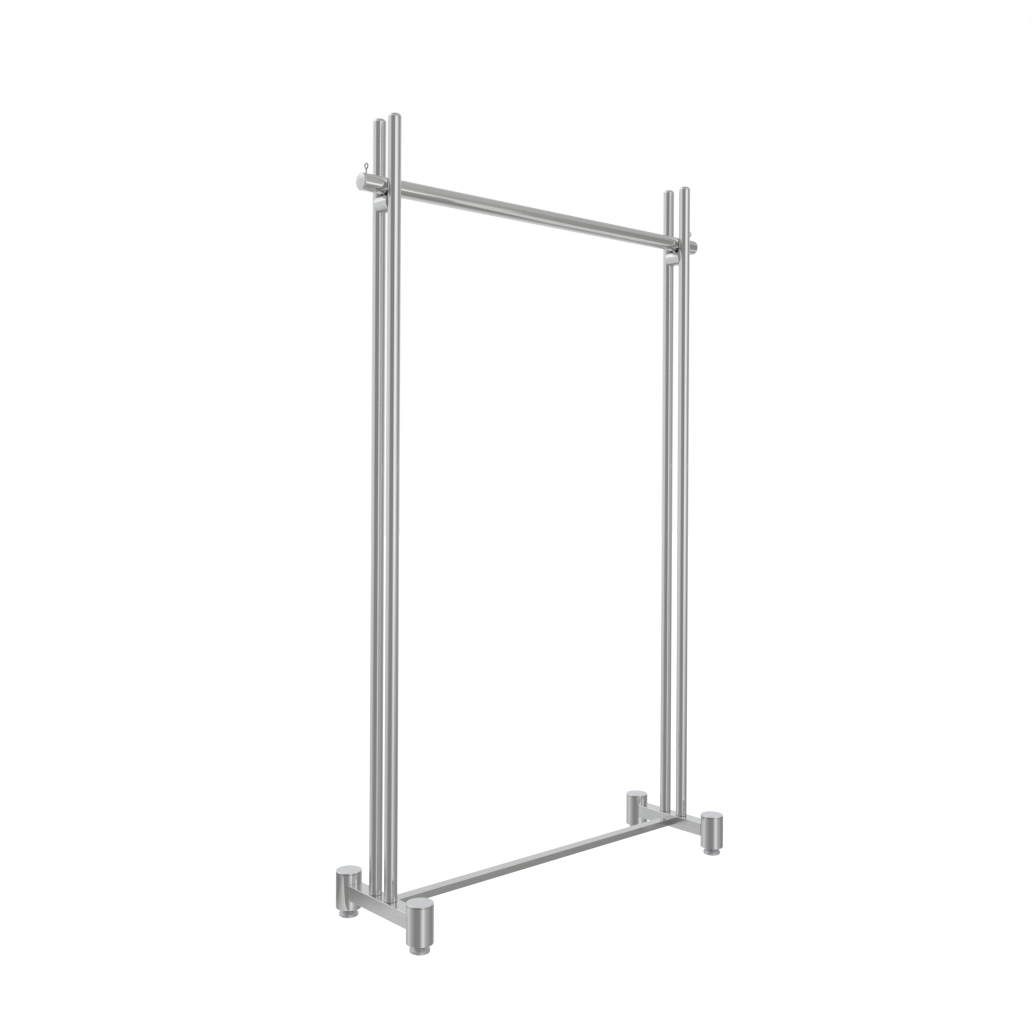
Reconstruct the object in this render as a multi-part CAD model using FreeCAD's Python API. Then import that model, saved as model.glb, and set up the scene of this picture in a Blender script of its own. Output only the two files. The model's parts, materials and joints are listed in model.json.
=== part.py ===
import FreeCAD, Part
import math
import os

# Valet stand: two end frames, a low stretcher and a hanging rail, all in millimetres.
# X runs along the rail (left is -X), Y front to rear (front is -Y), Z up.
# The origin is on the floor, midway between the four levelling feet.

# Overall sizes.
overall_height = 1717.0
frame_pitch = 928.0
foot_pitch = 258.0
upright_pitch = 54.6
rail_drop = 147.0
rail_overhang = 68.5

# Uprights: round tubes with a rounded cap on top and a tapped insert at the foot.
upright_diameter = 28.0
upright_wall = 2.0
upright_cap_height = 9.0
upright_cap_round = 8.0
upright_cap_spigot = 12.0
insert_length = 26.0
insert_tap_depth = 20.0

# Hanging rail: a larger round tube with domed end caps.
rail_diameter = 36.5
rail_wall = 2.0
rail_crown = 5.0
rail_knuckle = 3.5
rail_spigot_length = 22.0

# Tie rod between the two uprights of a frame, as thick as the rail and close under it.
tie_diameter = 36.5
tie_length = 44.0
tie_gap = 0.1
tie_spigot_diameter = 12.0
tie_spigot_reach = 5.0

# Foot posts: fat upright tubes with a disc cap and a tapped bushing.
post_diameter = 57.0
post_wall = 3.0
post_bottom = 18.0
post_top = 99.5
post_cap_thickness = 3.4
post_cap_round = 1.4
post_cap_spigot = 8.0
post_bottom_round = 1.5
bushing_length = 29.0
edge_break = 0.4

# Foot bars: solid rectangular bars, coped against the posts.
bar_width = 36.0
bar_height = 32.0
bar_bottom = 42.5
bar_edge_round = 0.8

# Stretcher: low rectangular tube let into the inner faces of the foot bars.
stretcher_width = 25.0
stretcher_height = 17.0
stretcher_wall = 2.0
stretcher_below_bar_top = 8.0
stretcher_edge_round = 1.0
mortise_depth = 16.0
stretcher_plug_length = 26.0

# Socket screws. Shanks fill their tapped holes and pass clearance holes freely.
frame_bolt_diameter = 8.0
frame_bolt_head_diameter = 13.0
frame_bolt_head_height = 8.0
frame_bolt_socket = 6.0
post_bolt_grip = 18.0
stretcher_bolt_diameter = 6.0
stretcher_bolt_head_diameter = 10.0
stretcher_bolt_head_height = 4.0
stretcher_bolt_socket = 4.0
stretcher_bolt_grip = 8.0
bolt_hole_clearance = 0.3
head_clearance = 0.5
counterbore_extra = 1.0
socket_depth_share = 0.5

# Ring-headed stop pins, dropped through the rail near its ends.
pin_diameter = 3.0
pin_setback = 16.5
pin_ring_diameter = 13.5
pin_ring_wire = 2.8
pin_ring_rise = 15.5
pin_depth = 32.0
pin_tip_chamfer = 0.6
pin_clearance = 0.05

# Levelling feet: a threaded spindle held in a glide pad.
glide_diameter = 42.0
glide_rim_height = 6.5
glide_rim_round = 2.5
glide_neck_diameter = 34.0
glide_height = 12.0
spindle_diameter = 10.0
spindle_top = 52.5
spindle_tip_chamfer = 1.0
spindle_hex_width = 17.0
spindle_hex_height = 3.4
spindle_hex_gap = 0.5
swivel_stem_diameter = 8.0
swivel_head_diameter = 14.0
swivel_head_height = 3.0
swivel_floor = 2.5
running_clearance = 0.05
free_gap = 0.3

# Derived levels and radii.
rail_z = overall_height - rail_drop
bar_top = bar_bottom + bar_height
bar_middle = bar_bottom + bar_height / 2.0
rail_radius = rail_diameter / 2.0
tie_radius = tie_diameter / 2.0
tie_z = rail_z - rail_radius - tie_gap - tie_radius
upright_radius = upright_diameter / 2.0
post_radius = post_diameter / 2.0
upright_top = overall_height - upright_cap_height
post_tube_top = post_top - post_cap_thickness
rail_tube_half = frame_pitch / 2.0 + rail_overhang - rail_crown
pin_x = frame_pitch / 2.0 + rail_overhang - pin_setback
stretcher_top = bar_top - stretcher_below_bar_top
stretcher_bottom = stretcher_top - stretcher_height
bar_inner_face = frame_pitch / 2.0 - bar_width / 2.0
stretcher_half = bar_inner_face + mortise_depth

UP = FreeCAD.Vector(0, 0, 1)
DOWN = FreeCAD.Vector(0, 0, -1)
ALONG_X = FreeCAD.Vector(1, 0, 0)
SIDES = (("left", -1), ("right", 1))
ENDS = (("front", -1), ("rear", 1))


def point(x, y, z):
    return FreeCAD.Vector(x, y, z)


def rod(radius, length, start, direction):
    return Part.makeCylinder(radius, length, start, direction)


def block(size_x, size_y, size_z, centre_x, centre_y, bottom_z):
    corner = point(centre_x - size_x / 2.0, centre_y - size_y / 2.0, bottom_z)
    return Part.makeBox(size_x, size_y, size_z, corner)


def aimed(shape, start, direction):
    """Turn a shape built along +Z so that it runs along the direction from the start point."""
    placed = shape.copy()
    placed.Placement = FreeCAD.Placement(start, FreeCAD.Rotation(UP, direction))
    return placed


def turned(profile):
    """Revolve a closed outline of (radius, height) points about the Z axis."""
    corners = [point(radius, 0, height) for radius, height in profile]
    outline = Part.makePolygon(corners + corners[:1])
    return Part.Face(outline).revolve(point(0, 0, 0), UP, 360)


def rim_edges(shape, radius, height):
    """Circular edges of a turned shape at one radius and height."""
    found = []
    for edge in shape.Edges:
        curve = edge.Curve
        if not isinstance(curve, Part.Circle):
            continue
        if abs(curve.Radius - radius) < 1e-4 and abs(curve.Center.z - height) < 1e-4:
            found.append(edge)
    return found


def edges_along(shape, direction):
    """Straight edges parallel to a direction."""
    found = []
    for edge in shape.Edges:
        if not isinstance(edge.Curve, Part.Line):
            continue
        if edge.Curve.Direction.cross(direction).Length < 1e-6:
            found.append(edge)
    return found


def hexagon_prism(width_across_flats, height, bottom_z):
    corner_radius = width_across_flats / math.sqrt(3.0)
    corners = []
    for index in range(6):
        angle = math.pi / 3.0 * index
        corners.append(point(corner_radius * math.cos(angle), corner_radius * math.sin(angle), bottom_z))
    return Part.Face(Part.makePolygon(corners + corners[:1])).extrude(UP * height)


def socket_screw(diameter, head_diameter, head_height, socket_width, length):
    """Cap screw along +Z: head below z = 0 with its socket opening downward, shank above."""
    head = rod(head_diameter / 2.0, head_height, point(0, 0, -head_height), UP)
    shank = rod(diameter / 2.0, length, point(0, 0, 0), UP)
    socket = hexagon_prism(socket_width, head_height * socket_depth_share, -head_height)
    return head.fuse(shank).removeSplitter().cut(socket)


def frame_screw(length):
    return socket_screw(frame_bolt_diameter, frame_bolt_head_diameter, frame_bolt_head_height,
                        frame_bolt_socket, length)


def foot_bar(side):
    """Solid bar coped round the posts, bored for its screws and mortised for the stretcher."""
    x = side * frame_pitch / 2.0
    bar = block(bar_width, foot_pitch, bar_height, x, 0, bar_bottom)
    bar = bar.makeFillet(bar_edge_round, edges_along(bar, point(0, 1, 0)))
    tap_radius = frame_bolt_diameter / 2.0
    hole_radius = tap_radius + bolt_hole_clearance
    counterbore_radius = frame_bolt_head_diameter / 2.0 + head_clearance
    counterbore_depth = frame_bolt_head_height + counterbore_extra
    for _, end in ENDS:
        axis_y = end * foot_pitch / 2.0
        bar = bar.cut(rod(post_radius, bar_height, point(x, axis_y, bar_bottom), UP))
        tap_length = post_radius + post_bolt_grip
        bar = bar.cut(rod(tap_radius, tap_length, point(x, axis_y, bar_middle), point(0, -end, 0)))
        bolt_foot = point(x, end * upright_pitch / 2.0, bar_bottom)
        bar = bar.cut(rod(hole_radius, bar_height, bolt_foot, UP))
        bar = bar.cut(rod(counterbore_radius, counterbore_depth, bolt_foot, UP))
    mortise_x = side * (bar_inner_face + mortise_depth / 2.0)
    bar = bar.cut(block(mortise_depth, stretcher_width, stretcher_height, mortise_x, 0, stretcher_bottom))
    screw_foot = point(mortise_x, 0, bar_bottom)
    screw_hole = stretcher_bolt_diameter / 2.0 + bolt_hole_clearance
    screw_counterbore = stretcher_bolt_head_diameter / 2.0 + head_clearance
    bar = bar.cut(rod(screw_hole, stretcher_bottom - bar_bottom, screw_foot, UP))
    return bar.cut(rod(screw_counterbore, stretcher_bolt_head_height, screw_foot, UP))


def foot_post(side, end):
    """Post tube with a rounded lower rim and a hole for the screw into the foot bar."""
    inner_radius = post_radius - post_wall
    height = post_tube_top - post_bottom
    tube = rod(post_radius, height, point(0, 0, post_bottom), UP)
    tube = tube.makeFillet(post_bottom_round, rim_edges(tube, post_radius, post_bottom))
    tube = tube.makeChamfer(edge_break, rim_edges(tube, post_radius, post_tube_top))
    tube = tube.cut(rod(inner_radius, height, point(0, 0, post_bottom), UP))
    hole_radius = frame_bolt_diameter / 2.0 + bolt_hole_clearance
    tube = tube.cut(rod(hole_radius, post_radius, point(0, 0, bar_middle), point(0, -end, 0)))
    tube.translate(post_axis(side, end))
    return tube


def post_axis(side, end):
    return point(side * frame_pitch / 2.0, end * foot_pitch / 2.0, 0)


def post_cap(side, end):
    """Flat disc with a rounded rim and a spigot pressed into the post."""
    disc = rod(post_radius, post_cap_thickness, point(0, 0, post_tube_top), UP)
    disc = disc.makeFillet(post_cap_round, rim_edges(disc, post_radius, post_top))
    disc = disc.makeChamfer(edge_break, rim_edges(disc, post_radius, post_tube_top))
    spigot_foot = point(0, 0, post_tube_top - post_cap_spigot)
    spigot = rod(post_radius - post_wall, post_cap_spigot, spigot_foot, UP)
    cap = disc.fuse(spigot).removeSplitter()
    cap.translate(post_axis(side, end))
    return cap


def post_bushing(side, end):
    """Thick tapped plug pressed into the foot of the post."""
    foot = point(0, 0, post_bottom)
    body = rod(post_radius - post_wall, bushing_length, foot, UP)
    bushing = body.cut(rod(spindle_diameter / 2.0 + running_clearance, bushing_length, foot, UP))
    bushing.translate(post_axis(side, end))
    return bushing


def post_bolts(side):
    """Two screws, one inside each post, drawing the posts against the bar."""
    inner_radius = post_radius - post_wall
    seat = math.sqrt(inner_radius ** 2 - (frame_bolt_head_diameter / 2.0) ** 2)
    screws = []
    for _, end in ENDS:
        start = post_axis(side, end) + point(0, -end * seat, bar_middle)
        length = post_radius + post_bolt_grip - seat
        screws.append(aimed(frame_screw(length), start, point(0, -end, 0)))
    return Part.makeCompound(screws)


def upright(side, end):
    """Tube notched round the rail and holed for the tie rod's spigot, both on its inner side."""
    x = side * frame_pitch / 2.0
    y = end * upright_pitch / 2.0
    height = upright_top - bar_top
    foot = point(x, y, bar_top)
    tube = rod(upright_radius, height, foot, UP)
    tube = tube.cut(rod(upright_radius - upright_wall, height, foot, UP))
    tube = tube.cut(rod(rail_radius, frame_pitch, point(x - frame_pitch / 2.0, 0, rail_z), ALONG_X))
    spigot_hole = rod(tie_spigot_diameter / 2.0, upright_pitch / 2.0, point(x, 0, tie_z), point(0, end, 0))
    return tube.cut(spigot_hole)


def upright_cap(side, end):
    """Button with a generously rounded rim and a spigot pressed into the upright."""
    button = rod(upright_radius, upright_cap_height, point(0, 0, upright_top), UP)
    button = button.makeFillet(upright_cap_round, rim_edges(button, upright_radius, overall_height))
    spigot_foot = point(0, 0, upright_top - upright_cap_spigot)
    spigot = rod(upright_radius - upright_wall, upright_cap_spigot, spigot_foot, UP)
    cap = button.fuse(spigot).removeSplitter()
    cap.translate(point(side * frame_pitch / 2.0, end * upright_pitch / 2.0, 0))
    return cap


def upright_insert(side, end):
    """Plug in the foot of the upright, tapped from below."""
    foot = point(side * frame_pitch / 2.0, end * upright_pitch / 2.0, bar_top)
    plug = rod(upright_radius - upright_wall, insert_length, foot, UP)
    return plug.cut(rod(frame_bolt_diameter / 2.0, insert_tap_depth, foot, UP))


def upright_bolts(side):
    """Two screws rising through the foot bar into the upright inserts."""
    seat_z = bar_bottom + frame_bolt_head_height + counterbore_extra
    length = bar_top - seat_z + insert_tap_depth
    screws = []
    for _, end in ENDS:
        start = point(side * frame_pitch / 2.0, end * upright_pitch / 2.0, seat_z)
        screws.append(aimed(frame_screw(length), start, UP))
    return Part.makeCompound(screws)


def tie_rod(side):
    """Short round bar coped against both uprights, with a spigot into each."""
    x = side * frame_pitch / 2.0
    start = point(x, -tie_length / 2.0, tie_z)
    bar = rod(tie_radius, tie_length, start, point(0, 1, 0))
    for _, end in ENDS:
        foot = point(x, end * upright_pitch / 2.0, tie_z - tie_diameter)
        bar = bar.cut(rod(upright_radius, 2.0 * tie_diameter, foot, UP))
    spigot_half = upright_pitch / 2.0 - upright_radius + tie_spigot_reach
    spigot = rod(tie_spigot_diameter / 2.0, 2.0 * spigot_half, point(x, -spigot_half, tie_z), point(0, 1, 0))
    return bar.fuse(spigot).removeSplitter()


def pin_hole(side):
    """Space for the stop pin: a blind hole from above, its floor just clear of the pin's tip."""
    depth = pin_depth + free_gap
    floor = point(side * pin_x, 0, rail_z + rail_radius - depth)
    return rod(pin_diameter / 2.0 + pin_clearance, depth + rail_radius, floor, UP)


def hanging_rail():
    start = point(-rail_tube_half, 0, rail_z)
    tube = rod(rail_radius, 2.0 * rail_tube_half, start, ALONG_X)
    tube = tube.cut(rod(rail_radius - rail_wall, 2.0 * rail_tube_half, start, ALONG_X))
    for _, side in SIDES:
        tube = tube.cut(pin_hole(side))
    return tube


def on_arc(centre_radius, centre_height, radius, angle):
    """Point on an arc in the XZ plane, its angle taken from the +Z axis towards +X."""
    return point(centre_radius + radius * math.sin(angle), 0, centre_height + radius * math.cos(angle))


def rail_cap(side):
    """Shallow dome, tangent to the rail through a tight knuckle, on a spigot that the pin crosses."""
    knuckle_centre = rail_radius - rail_knuckle
    spread = knuckle_centre ** 2 + rail_crown ** 2 - rail_knuckle ** 2
    crown_radius = spread / (2.0 * (rail_crown - rail_knuckle))
    crown_centre = rail_crown - crown_radius
    lean = math.atan2(knuckle_centre, -crown_centre)
    square = math.pi / 2.0
    crown = Part.Arc(on_arc(0, crown_centre, crown_radius, 0),
                     on_arc(0, crown_centre, crown_radius, lean / 2.0),
                     on_arc(0, crown_centre, crown_radius, lean)).toShape()
    knuckle = Part.Arc(on_arc(knuckle_centre, 0, rail_knuckle, lean),
                       on_arc(knuckle_centre, 0, rail_knuckle, (lean + square) / 2.0),
                       on_arc(knuckle_centre, 0, rail_knuckle, square)).toShape()
    base = Part.makePolygon([point(rail_radius, 0, 0), point(0, 0, 0), point(0, 0, rail_crown)])
    dome = Part.Face(Part.Wire([crown, knuckle] + base.Edges)).revolve(point(0, 0, 0), UP, 360)
    mouth = point(side * rail_tube_half, 0, rail_z)
    spigot = rod(rail_radius - rail_wall, rail_spigot_length, mouth, point(-side, 0, 0))
    return spigot.cut(pin_hole(side)).fuse(aimed(dome, mouth, point(side, 0, 0)))


def stop_pin(side):
    """Straight pin with a ring head whose plane faces along the rail."""
    x = side * pin_x
    top_of_rail = rail_z + rail_radius
    ring_radius = (pin_ring_diameter - pin_ring_wire) / 2.0
    ring_z = top_of_rail + pin_ring_rise
    ring = Part.makeTorus(ring_radius, pin_ring_wire / 2.0, point(x, 0, ring_z), ALONG_X)
    tip_z = top_of_rail - pin_depth
    stem = rod(pin_diameter / 2.0, ring_z - ring_radius - tip_z, point(0, 0, tip_z), UP)
    stem = stem.makeChamfer(pin_tip_chamfer, rim_edges(stem, pin_diameter / 2.0, tip_z))
    stem.translate(point(x, 0, 0))
    return ring.fuse(stem).removeSplitter()


def stretcher():
    """Rectangular tube whose ends sit in the bars' mortises, holed below for its screws."""
    length = 2.0 * stretcher_half
    tube = block(length, stretcher_width, stretcher_height, 0, 0, stretcher_bottom)
    tube = tube.makeFillet(stretcher_edge_round, edges_along(tube, ALONG_X))
    bore_width = stretcher_width - 2.0 * stretcher_wall
    bore_height = stretcher_height - 2.0 * stretcher_wall
    tube = tube.cut(block(length, bore_width, bore_height, 0, 0, stretcher_bottom + stretcher_wall))
    for _, side in SIDES:
        foot = point(side * (bar_inner_face + mortise_depth / 2.0), 0, stretcher_bottom)
        hole_radius = stretcher_bolt_diameter / 2.0 + bolt_hole_clearance
        tube = tube.cut(rod(hole_radius, stretcher_wall, foot, UP))
    return tube


def stretcher_plug(side):
    """Tapped block inside each end of the stretcher."""
    width = stretcher_width - 2.0 * stretcher_wall
    height = stretcher_height - 2.0 * stretcher_wall
    centre_x = side * (stretcher_half - stretcher_plug_length / 2.0)
    floor_z = stretcher_bottom + stretcher_wall
    plug = block(stretcher_plug_length, width, height, centre_x, 0, floor_z)
    foot = point(side * (bar_inner_face + mortise_depth / 2.0), 0, floor_z)
    return plug.cut(rod(stretcher_bolt_diameter / 2.0, stretcher_bolt_grip, foot, UP))


def stretcher_bolt(side):
    seat = point(side * (bar_inner_face + mortise_depth / 2.0), 0, bar_bottom + stretcher_bolt_head_height)
    length = stretcher_bottom + stretcher_wall + stretcher_bolt_grip - seat.z
    screw = socket_screw(stretcher_bolt_diameter, stretcher_bolt_head_diameter,
                         stretcher_bolt_head_height, stretcher_bolt_socket, length)
    return aimed(screw, seat, UP)


def glide(side, end):
    """Round pad on the floor, hollowed to hold the spindle's swivel head."""
    neck_radius = swivel_stem_diameter / 2.0 + running_clearance
    pocket_radius = swivel_head_diameter / 2.0 + free_gap
    pocket_top = swivel_floor + swivel_head_height + 2.0 * free_gap
    rim_radius = glide_diameter / 2.0
    pad = turned([(0, 0), (rim_radius, 0), (rim_radius, glide_rim_height),
                  (glide_neck_diameter / 2.0, glide_height), (neck_radius, glide_height),
                  (neck_radius, pocket_top), (pocket_radius, pocket_top),
                  (pocket_radius, swivel_floor), (0, swivel_floor)])
    pad = pad.makeFillet(glide_rim_round, rim_edges(pad, rim_radius, 0))
    pad.translate(post_axis(side, end))
    return pad


def spindle(side, end):
    """Threaded spindle with a hexagon for a spanner and a swivel head inside the glide."""
    head_bottom = swivel_floor + free_gap
    head_top = head_bottom + swivel_head_height
    hex_bottom = glide_height + spindle_hex_gap
    thread_radius = spindle_diameter / 2.0
    stem_radius = swivel_stem_diameter / 2.0
    head_radius = swivel_head_diameter / 2.0
    turned_part = turned([(0, head_bottom), (head_radius, head_bottom), (head_radius, head_top),
                          (stem_radius, head_top), (stem_radius, hex_bottom), (thread_radius, hex_bottom),
                          (thread_radius, spindle_top - spindle_tip_chamfer),
                          (thread_radius - spindle_tip_chamfer, spindle_top), (0, spindle_top)])
    hexagon = hexagon_prism(spindle_hex_width, spindle_hex_height, hex_bottom)
    screw = turned_part.fuse(hexagon).removeSplitter()
    screw.translate(post_axis(side, end))
    return screw


CORNER_PARTS = {
    "post": foot_post,
    "post_cap": post_cap,
    "post_bushing": post_bushing,
    "upright": upright,
    "upright_cap": upright_cap,
    "upright_insert": upright_insert,
    "glide": glide,
    "spindle": spindle,
}
SIDE_PARTS = {
    "foot_bar": foot_bar,
    "post_bolts": post_bolts,
    "upright_bolts": upright_bolts,
    "tie_rod": tie_rod,
    "rail_cap": rail_cap,
    "stop_pin": stop_pin,
    "stretcher_plug": stretcher_plug,
    "stretcher_bolt": stretcher_bolt,
}

os.makedirs("parts", exist_ok=True)
hanging_rail().exportStep("parts/hanging_rail.step")
stretcher().exportStep("parts/stretcher.step")
for side_name, side_sign in SIDES:
    for part_name, make in SIDE_PARTS.items():
        make(side_sign).exportStep("parts/" + side_name + "_" + part_name + ".step")
    for end_name, end_sign in ENDS:
        for part_name, make in CORNER_PARTS.items():
            node = side_name + "_" + end_name + "_" + part_name
            make(side_sign, end_sign).exportStep("parts/" + node + ".step")
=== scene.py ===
"""Looks of the valet stand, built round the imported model.

The stand is two end frames of paired uprights on a foot bar with a fat post at
each end, joined by a low stretcher and a thick hanging rail. Each class below
makes one sub-assembly: its sizes are fields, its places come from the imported
model, and its skins are surfaces worked out as numpy arrays. All lengths are in
metres: X runs along the rail, Y from front to rear, Z up.
"""

import json
import logging
import math
from dataclasses import dataclass, replace
from enum import Enum
from typing import Callable, Optional, Sequence, Union

import bpy
import numpy as np
from mathutils import Matrix, Vector


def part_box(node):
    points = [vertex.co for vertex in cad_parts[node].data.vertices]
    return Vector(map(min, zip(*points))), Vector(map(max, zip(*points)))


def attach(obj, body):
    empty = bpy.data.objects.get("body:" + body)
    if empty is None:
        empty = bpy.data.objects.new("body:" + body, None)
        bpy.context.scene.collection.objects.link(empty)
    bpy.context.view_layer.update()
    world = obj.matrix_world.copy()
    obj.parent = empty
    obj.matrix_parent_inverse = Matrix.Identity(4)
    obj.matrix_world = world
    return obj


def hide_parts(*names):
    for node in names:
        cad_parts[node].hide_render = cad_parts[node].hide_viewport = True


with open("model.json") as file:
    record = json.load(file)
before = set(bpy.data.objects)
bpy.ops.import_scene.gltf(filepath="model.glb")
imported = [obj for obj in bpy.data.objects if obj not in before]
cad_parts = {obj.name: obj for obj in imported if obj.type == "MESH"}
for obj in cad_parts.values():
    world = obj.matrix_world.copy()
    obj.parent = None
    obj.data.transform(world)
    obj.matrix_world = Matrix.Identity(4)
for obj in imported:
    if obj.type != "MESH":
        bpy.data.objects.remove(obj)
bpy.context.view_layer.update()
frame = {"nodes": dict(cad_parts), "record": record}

LOG = logging.getLogger("valet_stand")

Array = np.ndarray
Socket = bpy.types.NodeSocket
Outputs = bpy.types.NodeOutputs
Inputs = bpy.types.NodeInputs
Value = Union[float, Socket]
Colour = tuple[float, float, float]

FULL_TURN = 2.0 * math.pi
X_AXIS = np.array([1.0, 0.0, 0.0])
Y_AXIS = np.array([0.0, 1.0, 0.0])
Z_AXIS = np.array([0.0, 0.0, 1.0])

RAIL_DIAMETER = 0.0365
TIE_DIAMETER = 0.0365
UPRIGHT_DIAMETER = 0.028
POST_DIAMETER = 0.057

WHITE = (1.0, 1.0, 1.0, 1.0)


class Side(Enum):
    """End frames of the stand, with the sign of X at each."""

    LEFT = -1
    RIGHT = 1

    @property
    def word(self) -> str:
        """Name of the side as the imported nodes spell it."""
        return self.name.lower()


class End(Enum):
    """Ends of a foot bar, with the sign of Y at each."""

    FRONT = -1
    REAR = 1

    @property
    def word(self) -> str:
        """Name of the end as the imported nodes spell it."""
        return self.name.lower()


# ---------------------------------------------------------------- outlines


@dataclass(frozen=True)
class Run:
    """A smooth run of an outline drawn with the solid on its left.

    points and normals are (n, 2) arrays; edge says how much the run counts as a
    worn edge with a painted highlight, from 0 to 1.
    """

    points: Array
    normals: Array
    edge: float = 0.0


def straight(start: Sequence[float], end: Sequence[float], steps: int = 1, edge: float = 0.0) -> Run:
    """Draws a straight run of evenly spaced points.

    Point k is start + (k / steps) * (end - start). The normal is the direction
    turned a quarter to the right, which is outward when the solid is on the left.

    Args:
        start: First point of the run.
        end: Last point of the run.
        steps: Number of equal pieces.
        edge: How much the run counts as a worn edge with a painted highlight.

    Returns:
        The run.
    """
    first, last = np.asarray(start, float), np.asarray(end, float)
    share = np.linspace(0.0, 1.0, steps + 1)[:, None]
    way = (last - first) / np.linalg.norm(last - first)
    normals = np.tile([way[1], -way[0]], (steps + 1, 1))
    return Run(first + share * (last - first), normals, edge)


def bend(centre: Sequence[float], radius: float, start: float, end: float, steps: int = 6,
         edge: float = 1.0) -> Run:
    """Draws an arc.

    Point k is centre + radius * (cos a, sin a), with a going evenly from start to
    end. The normal points away from the centre on a left turn and towards it on a
    right turn.

    Args:
        centre: Centre of the arc.
        radius: Its radius.
        start: First angle, in degrees.
        end: Last angle, in degrees.
        steps: Number of equal pieces.
        edge: How much the run counts as a worn edge with a painted highlight.

    Returns:
        The run.
    """
    angles = np.radians(np.linspace(start, end, steps + 1))
    rays = np.stack([np.cos(angles), np.sin(angles)], axis=1)
    outward = rays if end > start else -rays
    return Run(np.asarray(centre, float) + radius * rays, outward, edge)


class Outline:
    """An outline drawn from point to point with the solid on its left."""

    def __init__(self, across: float, height: float) -> None:
        """Sets the pen down at a point."""
        self.pen: Sequence[float] = (across, height)
        self.runs: list[Run] = []

    def to(self, across: float, height: float, steps: int = 1, edge: float = 0.0) -> "Outline":
        """Draws a straight run from the pen to a point.

        Args:
            across: First coordinate of the point.
            height: Second coordinate of the point.
            steps: Number of equal pieces.
            edge: How much the run counts as a worn edge with a painted highlight.

        Returns:
            The outline itself.
        """
        self.runs.append(straight(self.pen, (across, height), steps, edge))
        self.pen = (across, height)
        return self

    def turn(self, radius: float, start: float, end: float, steps: int = 6, edge: float = 1.0) -> "Outline":
        """Draws an arc from the pen, about the centre pen - radius * (cos start, sin start).

        Args:
            radius: Its radius.
            start: First angle, in degrees.
            end: Last angle, in degrees.
            steps: Number of equal pieces.
            edge: How much the run counts as a worn edge with a painted highlight.

        Returns:
            The outline itself.
        """
        angle = math.radians(start)
        centre = (self.pen[0] - radius * math.cos(angle), self.pen[1] - radius * math.sin(angle))
        self.runs.append(bend(centre, radius, start, end, steps, edge))
        self.pen = tuple(self.runs[-1].points[-1])
        return self


def rounded_block(width: float, height: float, radius: float, base_steps: int = 1) -> list[Run]:
    """Outlines a rectangle with rounded corners, its base middle at the origin.

    The four straight sides and four quarter arcs follow each other to the left
    round the section, starting with the base.

    Args:
        width: Size across.
        height: Size upward.
        radius: Radius of the corners.
        base_steps: Number of equal pieces of the base and the top.

    Returns:
        Eight runs; the first is the base.
    """
    half, flat = width / 2.0, width / 2.0 - radius
    outline = Outline(-flat, 0.0).to(flat, 0.0, base_steps).turn(radius, -90.0, 0.0)
    outline.to(half, height - radius).turn(radius, 0.0, 90.0)
    outline.to(-flat, height, base_steps).turn(radius, 90.0, 180.0)
    return outline.to(-half, radius).turn(radius, 180.0, 270.0).runs


# ---------------------------------------------------------------- surfaces


def paired(first: Array, second: Array) -> Array:
    """Spreads two arrays over one grid and pairs them, as skin lengths are kept."""
    return np.stack(np.broadcast_arrays(first, second), axis=2)


@dataclass(frozen=True)
class Patch:
    """A smooth grid of surface: rows by columns of points, outward normals and skin lengths."""

    points: Array
    normals: Array
    lengths: Array
    edge: float = 0.0


@dataclass(frozen=True)
class Axis:
    """A line to turn outlines about: a base point, the way along it and the way of angle zero."""

    base: Array
    along: Array
    side: Array

    @property
    def other(self) -> Array:
        """The way of a quarter turn from the side."""
        return np.cross(self.along, self.side)

    def rays(self, angles: Array) -> Array:
        """Unit ways out from the axis: cos a * side + sin a * other at each angle a."""
        return np.cos(angles)[:, None] * self.side + np.sin(angles)[:, None] * self.other


def cover(ring: Array, heart: Array, normal: Array) -> Patch:
    """Closes a level ring of points to its middle, as one flat fan."""
    rows = np.stack([np.broadcast_to(heart, ring.shape), ring])
    return Patch(rows, np.broadcast_to(normal, rows.shape), rows[..., :2])


def full_circle(segments: int) -> Array:
    """Angles once round, with the first repeated at the end."""
    return np.linspace(0.0, FULL_TURN, segments + 1)


def run_lengths(run: Run, start: float = 0.0) -> Array:
    """Distance along a run at each of its points, counted on from start."""
    pieces = np.linalg.norm(np.diff(run.points, axis=0), axis=1)
    return start + np.concatenate([[0.0], np.cumsum(pieces)])


def turned(runs: Sequence[Run], axis: Axis, angles: Array) -> list[Patch]:
    """Carries an outline round an axis.

    An outline point (r, h) becomes base + h * along + r * (cos a * side + sin a *
    other) at each angle a, and its normal turns with it. Skin lengths are the
    widest radius times a, and the distance along the outline.

    Args:
        runs: Outline as runs of (radius, height).
        axis: Line to turn about.
        angles: Angles of the columns.

    Returns:
        One patch for each run.
    """
    rays = axis.rays(angles)
    widest = max(float(run.points[:, 0].max()) for run in runs)
    patches, travelled = [], 0.0
    for run in runs:
        radii, heights = run.points[:, 0, None, None], run.points[:, 1, None, None]
        points = axis.base + heights * axis.along + radii * rays[None]
        normals = run.normals[:, 1, None, None] * axis.along + run.normals[:, 0, None, None] * rays[None]
        along = run_lengths(run, travelled)
        travelled = float(along[-1])
        lengths = paired(widest * angles[None], along[:, None])
        patches.append(Patch(points, normals, lengths, run.edge))
    return patches


@dataclass(frozen=True)
class Track:
    """A straight way to carry a section along: its origin and its three directions."""

    origin: Array
    across: Array
    up: Array
    along: Array

    def point(self, a: Array, b: Array, c: Array) -> Array:
        """origin + a * across + b * up + c * along, for arrays of any one shape."""
        return (self.origin + a[..., None] * self.across + b[..., None] * self.up
                + c[..., None] * self.along)


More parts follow.
